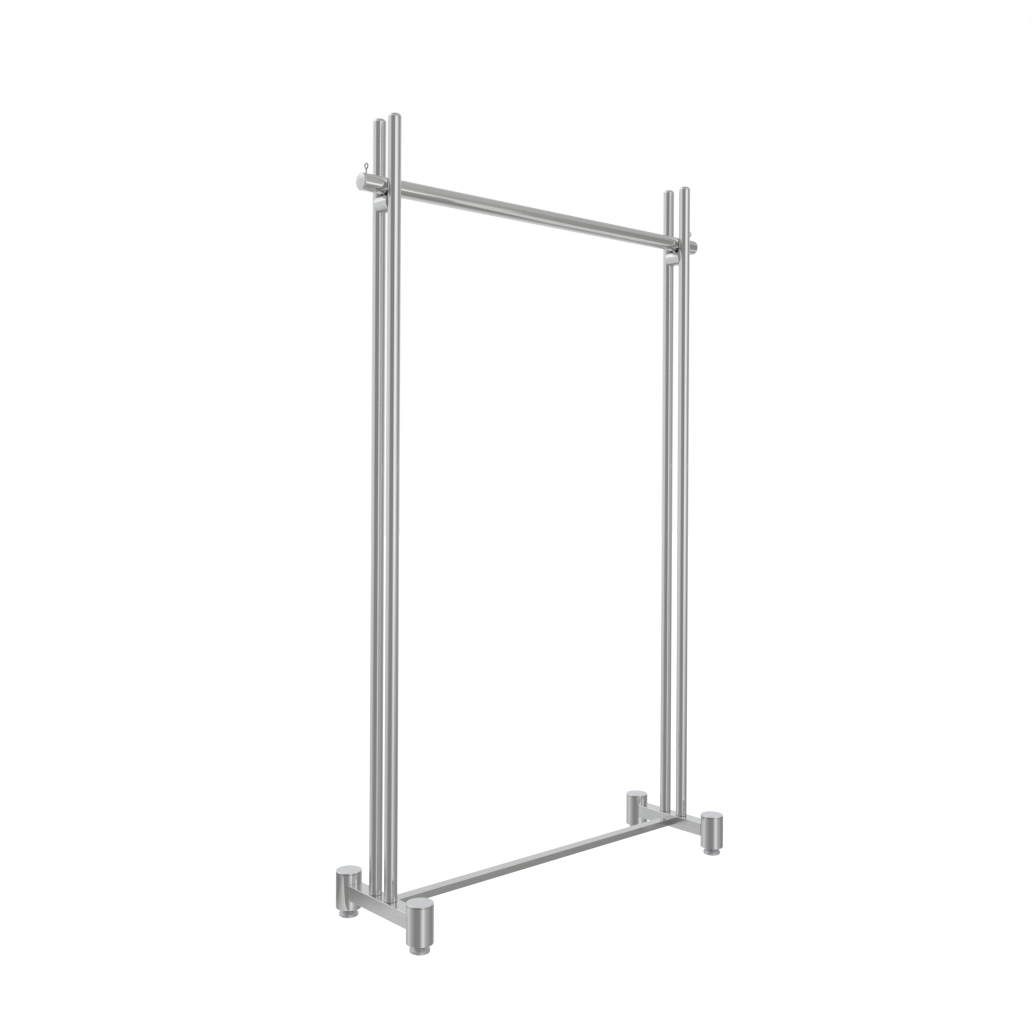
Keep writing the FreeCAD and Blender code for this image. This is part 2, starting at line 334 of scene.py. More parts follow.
def carried(runs: Sequence[Run], track: Track, stations: Array,
            reach: Callable[[Array], Array]) -> list[Patch]:
    """Carries a section along a straight track between two shaped ends.

    A section point (a, b) becomes origin + a * across + b * up + c * along. Between
    the ends c takes each station in turn; at the ends it is minus and plus
    reach(a), so that a coped end follows whatever the bar meets.

    Args:
        runs: Section as runs of (a, b).
        track: Where and which way it is carried.
        stations: Places along the track between the ends, in order.
        reach: Half length of the piece at each a.

    Returns:
        One patch for each run.
    """
    patches, travelled = [], 0.0
    for run in runs:
        a, b = run.points[:, 0], run.points[:, 1]
        middle = np.tile(stations, (len(a), 1))
        places = np.concatenate([-reach(a)[:, None], middle, reach(a)[:, None]], axis=1)
        wide, high = np.broadcast_arrays(a[:, None], places)[0], np.broadcast_arrays(b[:, None], places)[0]
        points = track.point(wide, high, places)
        normal = run.normals[:, 0, None] * track.across + run.normals[:, 1, None] * track.up
        normals = np.broadcast_to(normal[:, None], points.shape)
        along = run_lengths(run, travelled)
        travelled = float(along[-1])
        lengths = paired(places, along[:, None])
        patches.append(Patch(points, normals, lengths, run.edge))
    return patches


def stopped(runs: Sequence[Run], track: Track, middle: float, reach: Callable[[Array], Array],
            rings: int = 5) -> list[Patch]:
    """Closes both ends of a carried section.

    Each end is the section shrunk towards its middle in equal rings, with every
    ring at plus or minus reach(a) along the track.

    Args:
        runs: Section as runs of (a, b).
        track: Where and which way the section was carried.
        middle: Height of the section's middle.
        reach: Half length of the piece at each a.
        rings: Number of rings from the middle to the outline.

    Returns:
        The two end patches.
    """
    loop = np.concatenate([run.points for run in runs] + [runs[0].points[:1]])
    share = np.linspace(0.0, 1.0, rings + 1)[:, None]
    a = share * loop[None, :, 0]
    b = middle + share * (loop[None, :, 1] - middle)
    ends = []
    for sign in (-1.0, 1.0):
        points = track.point(a, b, sign * reach(a))
        normals = np.broadcast_to(sign * track.along, points.shape)
        ends.append(Patch(points, normals, np.stack([a, b], axis=2)))
    return ends


def window_outline(xs: Array, ys: Array) -> Array:
    """Goes once round the rectangle of a grid, through its border points, back to the first."""
    south = np.stack([xs, np.full_like(xs, ys[0])], axis=1)
    east = np.stack([np.full_like(ys, xs[-1]), ys], axis=1)
    north = np.stack([xs[::-1], np.full_like(xs, ys[-1])], axis=1)
    west = np.stack([np.full_like(ys, xs[0]), ys[::-1]], axis=1)
    return np.concatenate([south[:-1], east[:-1], north[:-1], west])


RIM_CROWDING = 1.4


def pierced(outline: Array, centre: Sequence[float], radius: float, rings: int = 4) -> tuple[Array, Array]:
    """Fills the plan between a round hole and an outline.

    Each outline point is joined to the hole's rim by a straight ray to the
    centre. Ring s of the grid lies the share s^1.4 of the way along every ray, so
    that the rings crowd towards the rim.

    Args:
        outline: (m, 2) points once round, the first repeated.
        centre: Centre of the hole.
        radius: Radius of its rim.
        rings: Number of rings from the rim to the outline.

    Returns:
        The (rings + 1, m, 2) plan and the (m, 2) unit rays from the centre.
    """
    middle = np.asarray(centre, float)
    rays = outline - middle
    rays = rays / np.linalg.norm(rays, axis=1)[:, None]
    rim = middle + radius * rays
    share = np.linspace(0.0, 1.0, rings + 1)[:, None, None] ** RIM_CROWDING
    return rim[None] + share * (outline - rim)[None], rays


def bored(rim: Array, rays: Array, centre: Sequence[float], radius: float, mouth: Array,
          break_size: float, floor: float, opening: float) -> list[Patch]:
    """Makes the broken mouth, wall and floor of a blind hole along Z.

    The mouth's ring goes from the rim at height mouth to the wall's radius, one
    break deeper into the hole; the wall goes straight on to the floor, and the
    floor shrinks to its centre.

    Args:
        rim: (m, 2) plan of the hole's rim, the first point repeated.
        rays: (m, 2) unit rays from the centre to the rim.
        centre: Centre of the hole in plan.
        radius: Radius of the wall.
        mouth: Height of the surface at each rim point.
        break_size: Size of the broken edge.
        floor: Height of the hole's floor.
        opening: +1 if the hole opens upward, -1 if downward.

    Returns:
        The patches of the mouth, the wall and the floor.
    """
    middle = np.asarray(centre, float)
    ring = middle + radius * rays
    inner = mouth - opening * break_size
    wall = np.concatenate([np.broadcast_to(ring, rim.shape), inner[:, None]], axis=1)
    lip = np.concatenate([rim, mouth[:, None]], axis=1)
    base = np.concatenate([ring, np.full((len(ring), 1), floor)], axis=1)
    heart = np.concatenate([np.broadcast_to(middle, ring.shape), base[:, 2:]], axis=1)
    flat_rays = np.concatenate([-rays, np.zeros((len(rays), 1))], axis=1)
    upward = np.broadcast_to([0.0, 0.0, opening], flat_rays.shape)
    slope = (flat_rays + upward) / math.sqrt(2.0)
    around = np.linspace(0.0, FULL_TURN * radius, len(ring))
    patches = []
    for rows, normal, edge in ((np.stack([lip, wall]), slope, 1.0), (np.stack([wall, base]), flat_rays, 0.0),
                               (np.stack([base, heart]), upward, 0.0)):
        lengths = paired(around[None], rows[:, :, 2])
        patches.append(Patch(rows, np.broadcast_to(normal, rows.shape), lengths, edge))
    return patches


def linked(name: str, data: bpy.types.ID) -> bpy.types.Object:
    """Makes an object of the data given and links it to the scene."""
    made = bpy.data.objects.new(name, data)
    bpy.context.scene.collection.objects.link(made)
    return made


class Shell:
    """A closed skin welded from patches and turned into one piece."""

    GRID = 1.3e-6
    GRID_OFFSET = 3.1e-7

    def __init__(self, name: str) -> None:
        """Starts an empty skin with the name of its piece."""
        self.name = name
        self.patches: list[Patch] = []

    def add(self, patches: Sequence[Patch]) -> "Shell":
        """Adds patches and returns the shell itself."""
        self.patches.extend(patches)
        return self

    def corners(self) -> Array:
        """Numbers the four corners of every grid cell of every patch.

        Returns:
            An (n, 4) array of point numbers, turned so that each cell faces the way
            of its own normals.
        """
        cells, first = [], 0
        for patch in self.patches:
            rows, columns = patch.points.shape[:2]
            numbers = first + np.arange(rows * columns).reshape(rows, columns)
            cells.append(np.stack([numbers[:-1, :-1], numbers[:-1, 1:], numbers[1:, 1:], numbers[1:, :-1]],
                                  axis=2).reshape(-1, 4))
            first += rows * columns
        quads = np.concatenate(cells)
        points, normals = self.gathered("points"), self.gathered("normals")
        corner = points[quads]
        facing = np.cross(corner[:, 2] - corner[:, 0], corner[:, 3] - corner[:, 1])
        turned_in = np.einsum("ij,ij->i", facing, normals[quads].sum(axis=1)) < 0.0
        quads[turned_in] = quads[turned_in][:, ::-1]
        return quads

    def gathered(self, field: str) -> Array:
        """All patches' values of one field, one row for each point."""
        return np.concatenate([getattr(patch, field).reshape(-1, getattr(patch, field).shape[-1])
                               for patch in self.patches])

    def piece(self) -> bpy.types.Object:
        """Welds the patches and makes the object.

        Points closer than a grid step become one vertex; a cell that loses a
        corner becomes a triangle, and one that loses two goes. Normals, skin
        lengths and worn edges with their painted highlight are kept for each face corner.

        Returns:
            The object, linked to the scene.
        """
        points, quads = self.gathered("points"), self.corners()
        keys = np.round((points + self.GRID_OFFSET) / self.GRID).astype(np.int64)
        _, chosen, numbers = np.unique(keys, axis=0, return_index=True, return_inverse=True)
        welded = numbers.reshape(-1)[quads]
        kept = welded != np.roll(welded, 1, axis=1)
        kept &= (kept.sum(axis=1) >= 3)[:, None]
        sources, sizes = quads[kept], kept.sum(axis=1)
        sizes = sizes[sizes > 0]
        mesh = bpy.data.meshes.new(self.name)
        mesh.vertices.add(len(chosen))
        mesh.vertices.foreach_set("co", points[chosen].astype(np.float32).ravel())
        mesh.loops.add(len(sources))
        mesh.loops.foreach_set("vertex_index", welded[kept].astype(np.int32))
        mesh.polygons.add(len(sizes))
        mesh.polygons.foreach_set("loop_start", (np.cumsum(sizes) - sizes).astype(np.int32))
        mesh.update(calc_edges=True)
        mesh.polygons.foreach_set("use_smooth", np.ones(len(sizes), bool))
        skin = mesh.uv_layers.new(name="skin")
        skin.data.foreach_set("uv", self.gathered("lengths")[sources].astype(np.float32).ravel())
        edges = np.concatenate([np.full(patch.points.shape[0] * patch.points.shape[1], patch.edge)
                                for patch in self.patches])
        worn_and_lit = mesh.attributes.new("worn_edge", "FLOAT", "CORNER")
        worn_and_lit.data.foreach_set("value", edges[sources].astype(np.float32))
        normals = self.gathered("normals")[sources]
        mesh.normals_split_custom_set((normals / np.linalg.norm(normals, axis=1)[:, None]).astype(np.float32))
        self.report(welded[kept], sizes)
        return linked(self.name, mesh)

    def report(self, loops: Array, sizes: Array) -> None:
        """Logs the piece's face count and how many of its edges aren't shared by two faces.

        Args:
            loops: Vertex number of every face corner.
            sizes: Number of corners of every face.
        """
        starts = np.repeat(np.cumsum(sizes) - sizes, sizes)
        places = np.arange(len(loops)) - starts
        following = loops[starts + (places + 1) % np.repeat(sizes, sizes)]
        pairs = np.sort(np.stack([loops, following], axis=1), axis=1)
        _, uses = np.unique(pairs, axis=0, return_counts=True)
        LOG.info("%-30s %6d faces, %d open edges", self.name, len(sizes), int((uses != 2).sum()))


# ---------------------------------------------------------------- node sheets


class Sheet:
    """Adds, sets and joins the nodes of one tree."""

    def __init__(self, tree: bpy.types.NodeTree) -> None:
        """Takes the tree to work on."""
        self.tree = tree

    @classmethod
    def blank(cls, owner: Union[bpy.types.Material, bpy.types.World]) -> "Sheet":
        """Gives a material or a world an empty tree and returns its sheet."""
        owner.use_nodes = True
        owner.node_tree.nodes.clear()
        return cls(owner.node_tree)

    def node(self, kind: str, **settings: object) -> bpy.types.Node:
        """Adds a node and sets its properties.

        Args:
            kind: Blender's name of the node type.
            settings: Properties to set on it.

        Returns:
            The node.
        """
        made = self.tree.nodes.new(kind)
        for name, value in settings.items():
            setattr(made, name, value)
        return made

    def feed(self, socket: Socket, value: object) -> None:
        """Joins a socket to an output, or sets it to a plain value."""
        if isinstance(value, bpy.types.NodeSocket):
            self.tree.links.new(value, socket)
        else:
            socket.default_value = value

    def parts(self, vector: Socket) -> Outputs:
        """Adds a Separate XYZ node and returns its three outputs."""
        made = self.node("ShaderNodeSeparateXYZ")
        self.feed(made.inputs[0], vector)
        return made.outputs

    def math(self, operation: str, first: Value, second: Value = 0.0, clamp: bool = False) -> Socket:
        """Adds a Math node.

        Args:
            operation: What it works out.
            first: First number or output.
            second: Second number or output.
            clamp: Whether the result is kept between 0 and 1.

        Returns:
            Its output.
        """
        made = self.node("ShaderNodeMath", operation=operation, use_clamp=clamp)
        self.feed(made.inputs[0], first)
        self.feed(made.inputs[1], second)
        return made.outputs[0]

    def spread(self, value: Value, low: Value, high: Value, to_low: Value = 0.0, to_high: Value = 1.0,
               smooth: bool = False) -> Socket:
        """Adds a Map Range node.

        Args:
            value: What is mapped.
            low: Start of its range.
            high: End of its range.
            to_low: Result at the start.
            to_high: Result at the end.
            smooth: Whether the step eases in and out.

        Returns:
            The mapped value.
        """
        made = self.node("ShaderNodeMapRange", interpolation_type="SMOOTHSTEP" if smooth else "LINEAR")
        for socket, wanted in zip(made.inputs[:5], (value, low, high, to_low, to_high)):
            self.feed(socket, wanted)
        return made.outputs[0]

    def noise(self, place: Value, scale: Value, detail: float, roughness: float = 0.5) -> Socket:
        """Adds a Noise Texture and returns its value output."""
        made = self.node("ShaderNodeTexNoise")
        self.feed(made.inputs["Vector"], place)
        self.feed(made.inputs["Scale"], scale)
        made.inputs["Detail"].default_value = detail
        made.inputs["Roughness"].default_value = roughness
        return made.outputs[0]

    def blend(self, share: Value, first: object, second: object, kind: str = "MIX") -> Socket:
        """Adds a colour Mix node and returns its colour output."""
        made = self.node("ShaderNodeMix", data_type="RGBA", blend_type=kind)
        self.feed(made.inputs[0], share)
        self.feed(made.inputs[6], (*first, 1.0) if isinstance(first, tuple) else first)
        self.feed(made.inputs[7], (*second, 1.0) if isinstance(second, tuple) else second)
        return made.outputs[2]


class Effect:
    """A shared surface effect: a node group that is built once and placed in many materials."""

    name = "effect"
    takes: tuple[tuple[str, str], ...] = ()
    gives: tuple[tuple[str, str], ...] = ()

    def tree(self) -> bpy.types.NodeTree:
        """Returns the group, made on first use."""
        made = bpy.data.node_groups.get(self.name)
        if made is not None:
            return made
        made = bpy.data.node_groups.new(self.name, "ShaderNodeTree")
        for words, direction in ((self.takes, "INPUT"), (self.gives, "OUTPUT")):
            for word, kind in words:
                made.interface.new_socket(name=word, in_out=direction, socket_type=kind)
        sheet = Sheet(made)
        entry = sheet.node("NodeGroupInput").outputs
        leave = sheet.node("NodeGroupOutput").inputs
        self.draw(sheet, entry, leave)
        return made

    def draw(self, sheet: Sheet, entry: Outputs, leave: Inputs) -> None:
        """Draws the nodes between the group's inputs and outputs."""
        raise NotImplementedError

    def place(self, sheet: Sheet, **values: object) -> Outputs:
        """Places the group in a material.

        Args:
            sheet: The material's sheet.
            values: Input values or outputs, by input name with _ for each space.

        Returns:
            The group's outputs.
        """
        made = sheet.node("ShaderNodeGroup", node_tree=self.tree())
        for name, value in values.items():
            sheet.feed(made.inputs[name.replace("_", " ")], value)
        return made.outputs


FLOAT = "NodeSocketFloat"
VECTOR = "NodeSocketVector"


class BrushedGrain(Effect):
    """Fine drawn lines with broader bands in them, for a place already stretched along the grain."""

    name = "brushed_grain"
    takes = (("Place", VECTOR), ("Fineness", FLOAT))
    gives = (("Lines", FLOAT), ("Bands", FLOAT), ("Height", FLOAT))

    BAND_FINENESS = 0.13
    FINE_SHARE = 0.66
    LINE_RANGE = (0.3, 0.7)
    BAND_RANGE = (0.35, 0.65)

    def draw(self, sheet: Sheet, entry: Outputs, leave: Inputs) -> None:
        """Adds a fine and a broad noise; Height is two thirds fine and one third broad."""
        fine = sheet.noise(entry["Place"], entry["Fineness"], 4.0, 0.65)
        broad_scale = sheet.math("MULTIPLY", entry["Fineness"], self.BAND_FINENESS)
        broad = sheet.noise(entry["Place"], broad_scale, 2.0)
        sheet.feed(leave["Lines"], sheet.spread(fine, *self.LINE_RANGE))
        sheet.feed(leave["Bands"], sheet.spread(broad, *self.BAND_RANGE))
        height = sheet.math("ADD", sheet.math("MULTIPLY", fine, self.FINE_SHARE),
                            sheet.math("MULTIPLY", broad, 1.0 - self.FINE_SHARE))
        sheet.feed(leave["Height"], height)


class HandSmudges(Effect):
    """Soft cloudy smears left by hands and cloths."""

    name = "hand_smudges"
    takes = (("Place", VECTOR), ("Amount", FLOAT))
    gives = (("Film", FLOAT), ("Wave", FLOAT))

    CLOUD_SCALE = 9.0
    CLOUD_RANGE = (0.42, 0.72)
    STREAK_SCALE = 46.0
    STREAK_RANGE = (0.3, 0.75)
    WAVE_SCALE = 24.0

    def draw(self, sheet: Sheet, entry: Outputs, leave: Inputs) -> None:
        """Film is a clipped cloud noise times Amount; Wave is a slow swell for the polish."""
        cloud = sheet.noise(entry["Place"], self.CLOUD_SCALE, 5.0, 0.6)
        streak = sheet.noise(entry["Place"], self.STREAK_SCALE, 3.0)
        film = sheet.math("MULTIPLY", sheet.spread(cloud, *self.CLOUD_RANGE, smooth=True),
                          sheet.spread(streak, *self.STREAK_RANGE))
        sheet.feed(leave["Film"], sheet.math("MULTIPLY", film, entry["Amount"], clamp=True))
        sheet.feed(leave["Wave"], sheet.noise(entry["Place"], self.WAVE_SCALE, 1.0))


class WornEdge(Effect):
    """Brighter, smoother metal along edges that cloths and hands rub, with a painted highlight on the rounded
    edges.
    """

    name = "worn_edge"
    takes = (("Place", VECTOR), ("Edge", FLOAT), ("Amount", FLOAT))
    gives = (("Mask", FLOAT),)

    PATCH_SCALE = 90.0
    PATCH_RANGE = (0.3, 0.62)
    LEAST_RUB = 0.35

    def draw(self, sheet: Sheet, entry: Outputs, leave: Inputs) -> None:
        """Mask is the edge value, broken up by a patchy noise and scaled by Amount."""
        patchy = sheet.spread(sheet.noise(entry["Place"], self.PATCH_SCALE, 4.0, 0.6),
                              *self.PATCH_RANGE, self.LEAST_RUB, 1.0)
        rubbed = sheet.math("MULTIPLY", entry["Edge"], patchy)
        sheet.feed(leave["Mask"], sheet.math("MULTIPLY", rubbed, entry["Amount"], clamp=True))


class SettledDust(Effect):
    """A thin bloom of dust on faces that look up."""

    name = "settled_dust"
    takes = (("Place", VECTOR), ("Facing", VECTOR), ("Amount", FLOAT))
    gives = (("Mask", FLOAT),)

    LEVEL_RANGE = (0.35, 1.0)
    SPECK_SCALE = 420.0
    SPECK_RANGE = (0.42, 0.75)
    LEAST_DUST = 0.25

    def draw(self, sheet: Sheet, entry: Outputs, leave: Inputs) -> None:
        """Mask is how far the face looks up, times a speckled noise, times Amount."""
        upward = sheet.spread(sheet.parts(entry["Facing"])[2], *self.LEVEL_RANGE, smooth=True)
        speckle = sheet.spread(sheet.noise(entry["Place"], self.SPECK_SCALE, 3.0, 0.7), *self.SPECK_RANGE)
        settled = sheet.math("MULTIPLY", upward, sheet.math("ADD", speckle, self.LEAST_DUST))
        sheet.feed(leave["Mask"], sheet.math("MULTIPLY", settled, entry["Amount"], clamp=True))


class LatheRings(Effect):
    """Fine rings left by a turning tool, from the skin's length across the face."""

    name = "lathe_rings"
    takes = (("Skin", VECTOR), ("Pitch", FLOAT))
    gives = (("Height", FLOAT),)

    def draw(self, sheet: Sheet, entry: Outputs, leave: Inputs) -> None:
        """Height is a noise that changes only with the length across the face."""
        across = sheet.parts(entry["Skin"])[1]
        ring = sheet.node("ShaderNodeTexNoise", noise_dimensions="1D")
        sheet.feed(ring.inputs["W"], sheet.math("DIVIDE", across, entry["Pitch"]))
        ring.inputs["Scale"].default_value = 1.0
        ring.inputs["Detail"].default_value = 2.0
        sheet.feed(leave["Height"], ring.outputs[0])


class ContactShade(Effect):
    """Painted shade where a surface meets a neighbour, the same on all four quarters of the stand; at the
    post caps the same darkening marks the dark joint line.
    """

    name = "contact_shade"
    takes = (("Place", VECTOR), ("Centre", VECTOR), ("Across", VECTOR), ("Radius", FLOAT),
             ("Width", FLOAT))
    gives = (("Shade", FLOAT),)

    FALLOFF = 1.5

    def draw(self, sheet: Sheet, entry: Outputs, leave: Inputs) -> None:
        """Shade is (1 - gap / Width)^1.5, for a gap of ||(|Place| - Centre) * Across| - Radius|."""
        value = entry["Place"]
        for operation, other in (("ABSOLUTE", None), ("SUBTRACT", "Centre"), ("MULTIPLY", "Across")):
            step = sheet.node("ShaderNodeVectorMath", operation=operation)
            sheet.feed(step.inputs[0], value)
            if other is not None:
                sheet.feed(step.inputs[1], entry[other])
            value = step.outputs[0]
        reach = sheet.node("ShaderNodeVectorMath", operation="LENGTH")
        sheet.feed(reach.inputs[0], value)
        gap = sheet.math("ABSOLUTE", sheet.math("SUBTRACT", reach.outputs["Value"], entry["Radius"]))
        shade = sheet.math("SUBTRACT", 1.0, sheet.math("DIVIDE", gap, entry["Width"]), clamp=True)
        sheet.feed(leave["Shade"], sheet.math("POWER", shade, self.FALLOFF))


# ---------------------------------------------------------------- finishes


def middle_of(node: str) -> Array:
    """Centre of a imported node's box."""
    low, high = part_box(node)
    return (np.array(low) + np.array(high)) / 2.0


@dataclass(frozen=True)
class Seam:
    """A neighbour that a surface's colour darkens against: painted shade in the crevice beside it, and at the
    post caps a dark joint line.

    across holds 1 for the directions in which distance counts: two of them make a
    round bar of the given radius, one makes a plane.
    """

    centre: Colour
    across: Colour
    radius: float = 0.0
    width: float = 0.0016


def beside(node: str, across: Colour, radius: float) -> Seam:
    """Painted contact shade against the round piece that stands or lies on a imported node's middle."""
    return Seam(tuple(float(part) for part in np.abs(middle_of(node))), across, radius)


# Painted shade: colour darkened in the crevices beside the rail, ties, uprights, posts and the foot bar's
# top. CAP_SEAM is the dark joint line under a post cap.
RAIL_CONTACT_SHADE = beside("hanging_rail", (0.0, 1.0, 1.0), RAIL_DIAMETER / 2.0)
TIE_CONTACT_SHADE = beside("right_tie_rod", (1.0, 0.0, 1.0), TIE_DIAMETER / 2.0)
UPRIGHT_CONTACT_SHADE = beside("right_rear_upright_cap", (1.0, 1.0, 0.0), UPRIGHT_DIAMETER / 2.0)
POST_CONTACT_SHADE = beside("right_rear_post_cap", (1.0, 1.0, 0.0), POST_DIAMETER / 2.0)
BAR_CONTACT_SHADE = Seam((0.0, 0.0, float(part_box("right_foot_bar")[1][2])), (0.0, 0.0, 1.0))
CAP_SEAM = Seam((0.0, 0.0, float(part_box("right_rear_post")[1][2])), (0.0, 0.0, 1.0), 0.0, 0.0011)


@dataclass(frozen=True)
class Finish:
    """A surface finish; its numbers dress every material made from it.

    grain stretches the pattern: the smallest of its three numbers lies along the
    brushing. sheen and dull are the roughness of the clean and the smeared
    surface; upward scales both on faces that look up. Depths are in metres.
    """

    name: str
    slot: str
    colour: Colour
    shade: Colour
    sheen: float
    dull: float
    grain: tuple[float, float, float] = (1.0, 1.0, 1.0)
    fineness: float = 900.0
    grain_depth: float = 0.0
    wave_depth: float = 0.0
    smudge: float = 0.5
    edge: float = 0.5
    # Lighter colour on edges: rubbed wear and a painted edge highlight.
    edge_colour: Colour = (0.9, 0.9, 0.9)
    dust: float = 0.1
    ring_pitch: float = 0.0
    metallic: float = 1.0
    upward: float = 1.0
    seams: tuple[Seam, ...] = ()
    # Painted shade: each entry darkens the colour beside a neighbouring part; the post cap's entry is its
    # dark joint line.
    seam_depth: float = 0.8

    DUST_COLOUR = (0.62, 0.61, 0.59)
    DUST_ROUGHNESS = 0.3
    SEAM_COLOUR = (0.1, 0.1, 0.1)
    BAND_FILM = 0.35
    WORN_SHINE = 0.7
    UPWARD_RANGE = (0.8, 0.98)
    RING_DEPTH = 0.02

    def material(self) -> bpy.types.Material:
        """Returns the finish's material, made on first use."""
        made = bpy.data.materials.get(self.name)
        if made is not None:
            return made
        made = bpy.data.materials.new(self.name)
        sheet = Sheet.blank(made)
        place = sheet.node("ShaderNodeTexCoord").outputs["Object"]
        stretch = sheet.node("ShaderNodeMapping")
        sheet.feed(stretch.inputs["Vector"], place)
        stretch.inputs["Scale"].default_value = self.grain
        grain = BrushedGrain().place(sheet, Place=stretch.outputs[0], Fineness=self.fineness)
        smudge = HandSmudges().place(sheet, Place=place, Amount=self.smudge)
        edge = sheet.node("ShaderNodeAttribute", attribute_name="worn_edge").outputs["Fac"]
        worn_and_lit = WornEdge().place(sheet, Place=place, Edge=edge, Amount=self.edge)
        facing = sheet.node("ShaderNodeNewGeometry").outputs["Normal"]
        dust = SettledDust().place(sheet, Place=place, Facing=facing, Amount=self.dust)
        colour = sheet.blend(grain["Lines"], self.shade, self.colour)
        # Edges lighten: rubbed wear and a painted highlight on the rounded edges.
        colour = sheet.blend(worn_and_lit["Mask"], colour, self.edge_colour)
        colour = sheet.blend(dust["Mask"], colour, self.DUST_COLOUR)
        # Painted shade: darken the colour next to each neighbouring part.
        for darkening in self.seams:
            shade = ContactShade().place(sheet, Place=place, Centre=darkening.centre, Across=darkening.across,
                                         Radius=darkening.radius, Width=darkening.width)["Shade"]
            colour = sheet.blend(sheet.math("MULTIPLY", shade, self.seam_depth), colour, self.SEAM_COLOUR)
        film = sheet.math("ADD", smudge["Film"], sheet.math("MULTIPLY", grain["Bands"], self.BAND_FILM),
                          clamp=True)
        rough = sheet.spread(film, 0.0, 1.0, self.sheen, self.dull)
        rough = sheet.math("MULTIPLY", rough, sheet.spread(worn_and_lit["Mask"], 0.0, 1.0, 1.0, self.WORN_SHINE))
        if self.upward != 1.0:
            looks_up = sheet.spread(sheet.parts(facing)[2], *self.UPWARD_RANGE, 1.0, self.upward)
            rough = sheet.math("MULTIPLY", rough, looks_up)
        dulled = sheet.math("MULTIPLY", dust["Mask"], self.DUST_ROUGHNESS)
        rough = sheet.math("ADD", rough, dulled, clamp=True)
        shader = sheet.node("ShaderNodeBsdfPrincipled")
        shader.inputs["Metallic"].default_value = self.metallic
        sheet.feed(shader.inputs["Base Color"], colour)
        sheet.feed(shader.inputs["Roughness"], rough)
        sheet.feed(shader.inputs["Normal"], self.relief(sheet, grain, smudge))
        leave = sheet.node("ShaderNodeOutputMaterial")
        sheet.feed(leave.inputs["Surface"], shader.outputs[0])
        return made

    def relief(self, sheet: Sheet, grain: Outputs, smudge: Outputs) -> Socket:
        """Chains the bumps of the grain, the swell of the polish and the lathe rings.

        Args:
            sheet: The material's sheet.
            grain: Outputs of the brushed grain.
            smudge: Outputs of the smudges, whose wave is the swell.

        Returns:
            The bumped normal.
        """
        layers = [(grain["Height"], self.grain_depth), (smudge["Wave"], self.wave_depth)]
        if self.ring_pitch:
            skin = sheet.node("ShaderNodeUVMap", uv_map="skin").outputs[0]
            rings = LatheRings().place(sheet, Skin=skin, Pitch=self.ring_pitch)
            layers.append((rings["Height"], self.ring_pitch * self.RING_DEPTH))
        normal: Optional[Socket] = None
        for height, depth in layers:
            bump = sheet.node("ShaderNodeBump")
            bump.inputs["Strength"].default_value = 1.0
            bump.inputs["Distance"].default_value = depth
            sheet.feed(bump.inputs["Height"], height)
            if normal is not None:
                sheet.feed(bump.inputs["Normal"], normal)
            normal = bump.outputs[0]
        return normal


POLISHED_TUBE = Finish("polished_tube", "polished_steel", (0.80, 0.80, 0.79), (0.76, 0.76, 0.755),
                       0.07, 0.16, grain=(1.0, 1.0, 0.01), grain_depth=6e-7, wave_depth=4e-6,
                       edge=0.6, dust=0.0)
UPRIGHT_TUBE = replace(POLISHED_TUBE, name="upright_tube", seams=(RAIL_CONTACT_SHADE, BAR_CONTACT_SHADE))
POST_TUBE = replace(POLISHED_TUBE, name="post_tube", seams=(CAP_SEAM,))
TIE_BAR = replace(POLISHED_TUBE, name="tie_bar", grain=(1.0, 0.01, 1.0), sheen=0.12, dull=0.22,
                  seams=(RAIL_CONTACT_SHADE, UPRIGHT_CONTACT_SHADE))
POLISHED_RAIL = Finish("polished_rail", "polished_steel", (0.80, 0.80, 0.785), (0.76, 0.76, 0.745),
                       0.06, 0.13, grain=(0.01, 1.0, 1.0), grain_depth=8e-7, wave_depth=4e-6,
                       edge=0.6, dust=0.03, seams=(UPRIGHT_CONTACT_SHADE, TIE_CONTACT_SHADE))
# The light edge colours of the cap, bar, stretcher and pad paint a highlight on their rounded rims as well as
# wear.
TURNED_CAP = Finish("turned_cap", "polished_steel", (0.78, 0.79, 0.80), (0.72, 0.73, 0.745),
                    0.12, 0.22, fineness=500.0, grain_depth=4e-7, wave_depth=2e-6, edge=0.9,
                    edge_colour=(0.96, 0.96, 0.96), dust=0.05, ring_pitch=0.0006, seams=(CAP_SEAM,))
SATIN_BAR = Finish("satin_bar", "satin_steel", (0.80, 0.80, 0.79), (0.64, 0.64, 0.635), 0.20, 0.32,
                   grain=(1.0, 0.03, 1.0), grain_depth=8e-7, edge=1.0, upward=0.25,
                   edge_colour=(0.97, 0.97, 0.97), dust=0.03, seams=(POST_CONTACT_SHADE, UPRIGHT_CONTACT_SHADE))
SATIN_STRETCHER = Finish("satin_stretcher", "satin_steel", (0.74, 0.74, 0.73), (0.62, 0.62, 0.615),
                         0.16, 0.28, grain=(0.03, 1.0, 1.0), grain_depth=8e-7, edge=1.0,
                         upward=0.35, edge_colour=(0.95, 0.95, 0.95), dust=0.03)
DRAWN_WIRE = Finish("drawn_wire", "pin_steel", (0.55, 0.55, 0.54), (0.42, 0.42, 0.41), 0.14, 0.3,
                    grain=(1.0, 1.0, 0.2), fineness=1500.0, grain_depth=8e-7, edge=0.4, dust=0.03)
MACHINED_STEEL = Finish("machined_steel", "hidden_steel", (0.74, 0.74, 0.74), (0.62, 0.62, 0.615),
                        0.26, 0.42, fineness=700.0, grain_depth=2e-6, smudge=0.8, dust=0.0)
TURNED_PAD = Finish("turned_pad", "glide_steel", (0.66, 0.66, 0.69), (0.54, 0.54, 0.57),
                    0.30, 0.45, metallic=0.75, fineness=700.0, grain_depth=2e-6, wave_depth=6e-6, edge=0.7,
                    edge_colour=(0.82, 0.82, 0.83), dust=0.12, ring_pitch=0.0007)


# ---------------------------------------------------------------- pieces


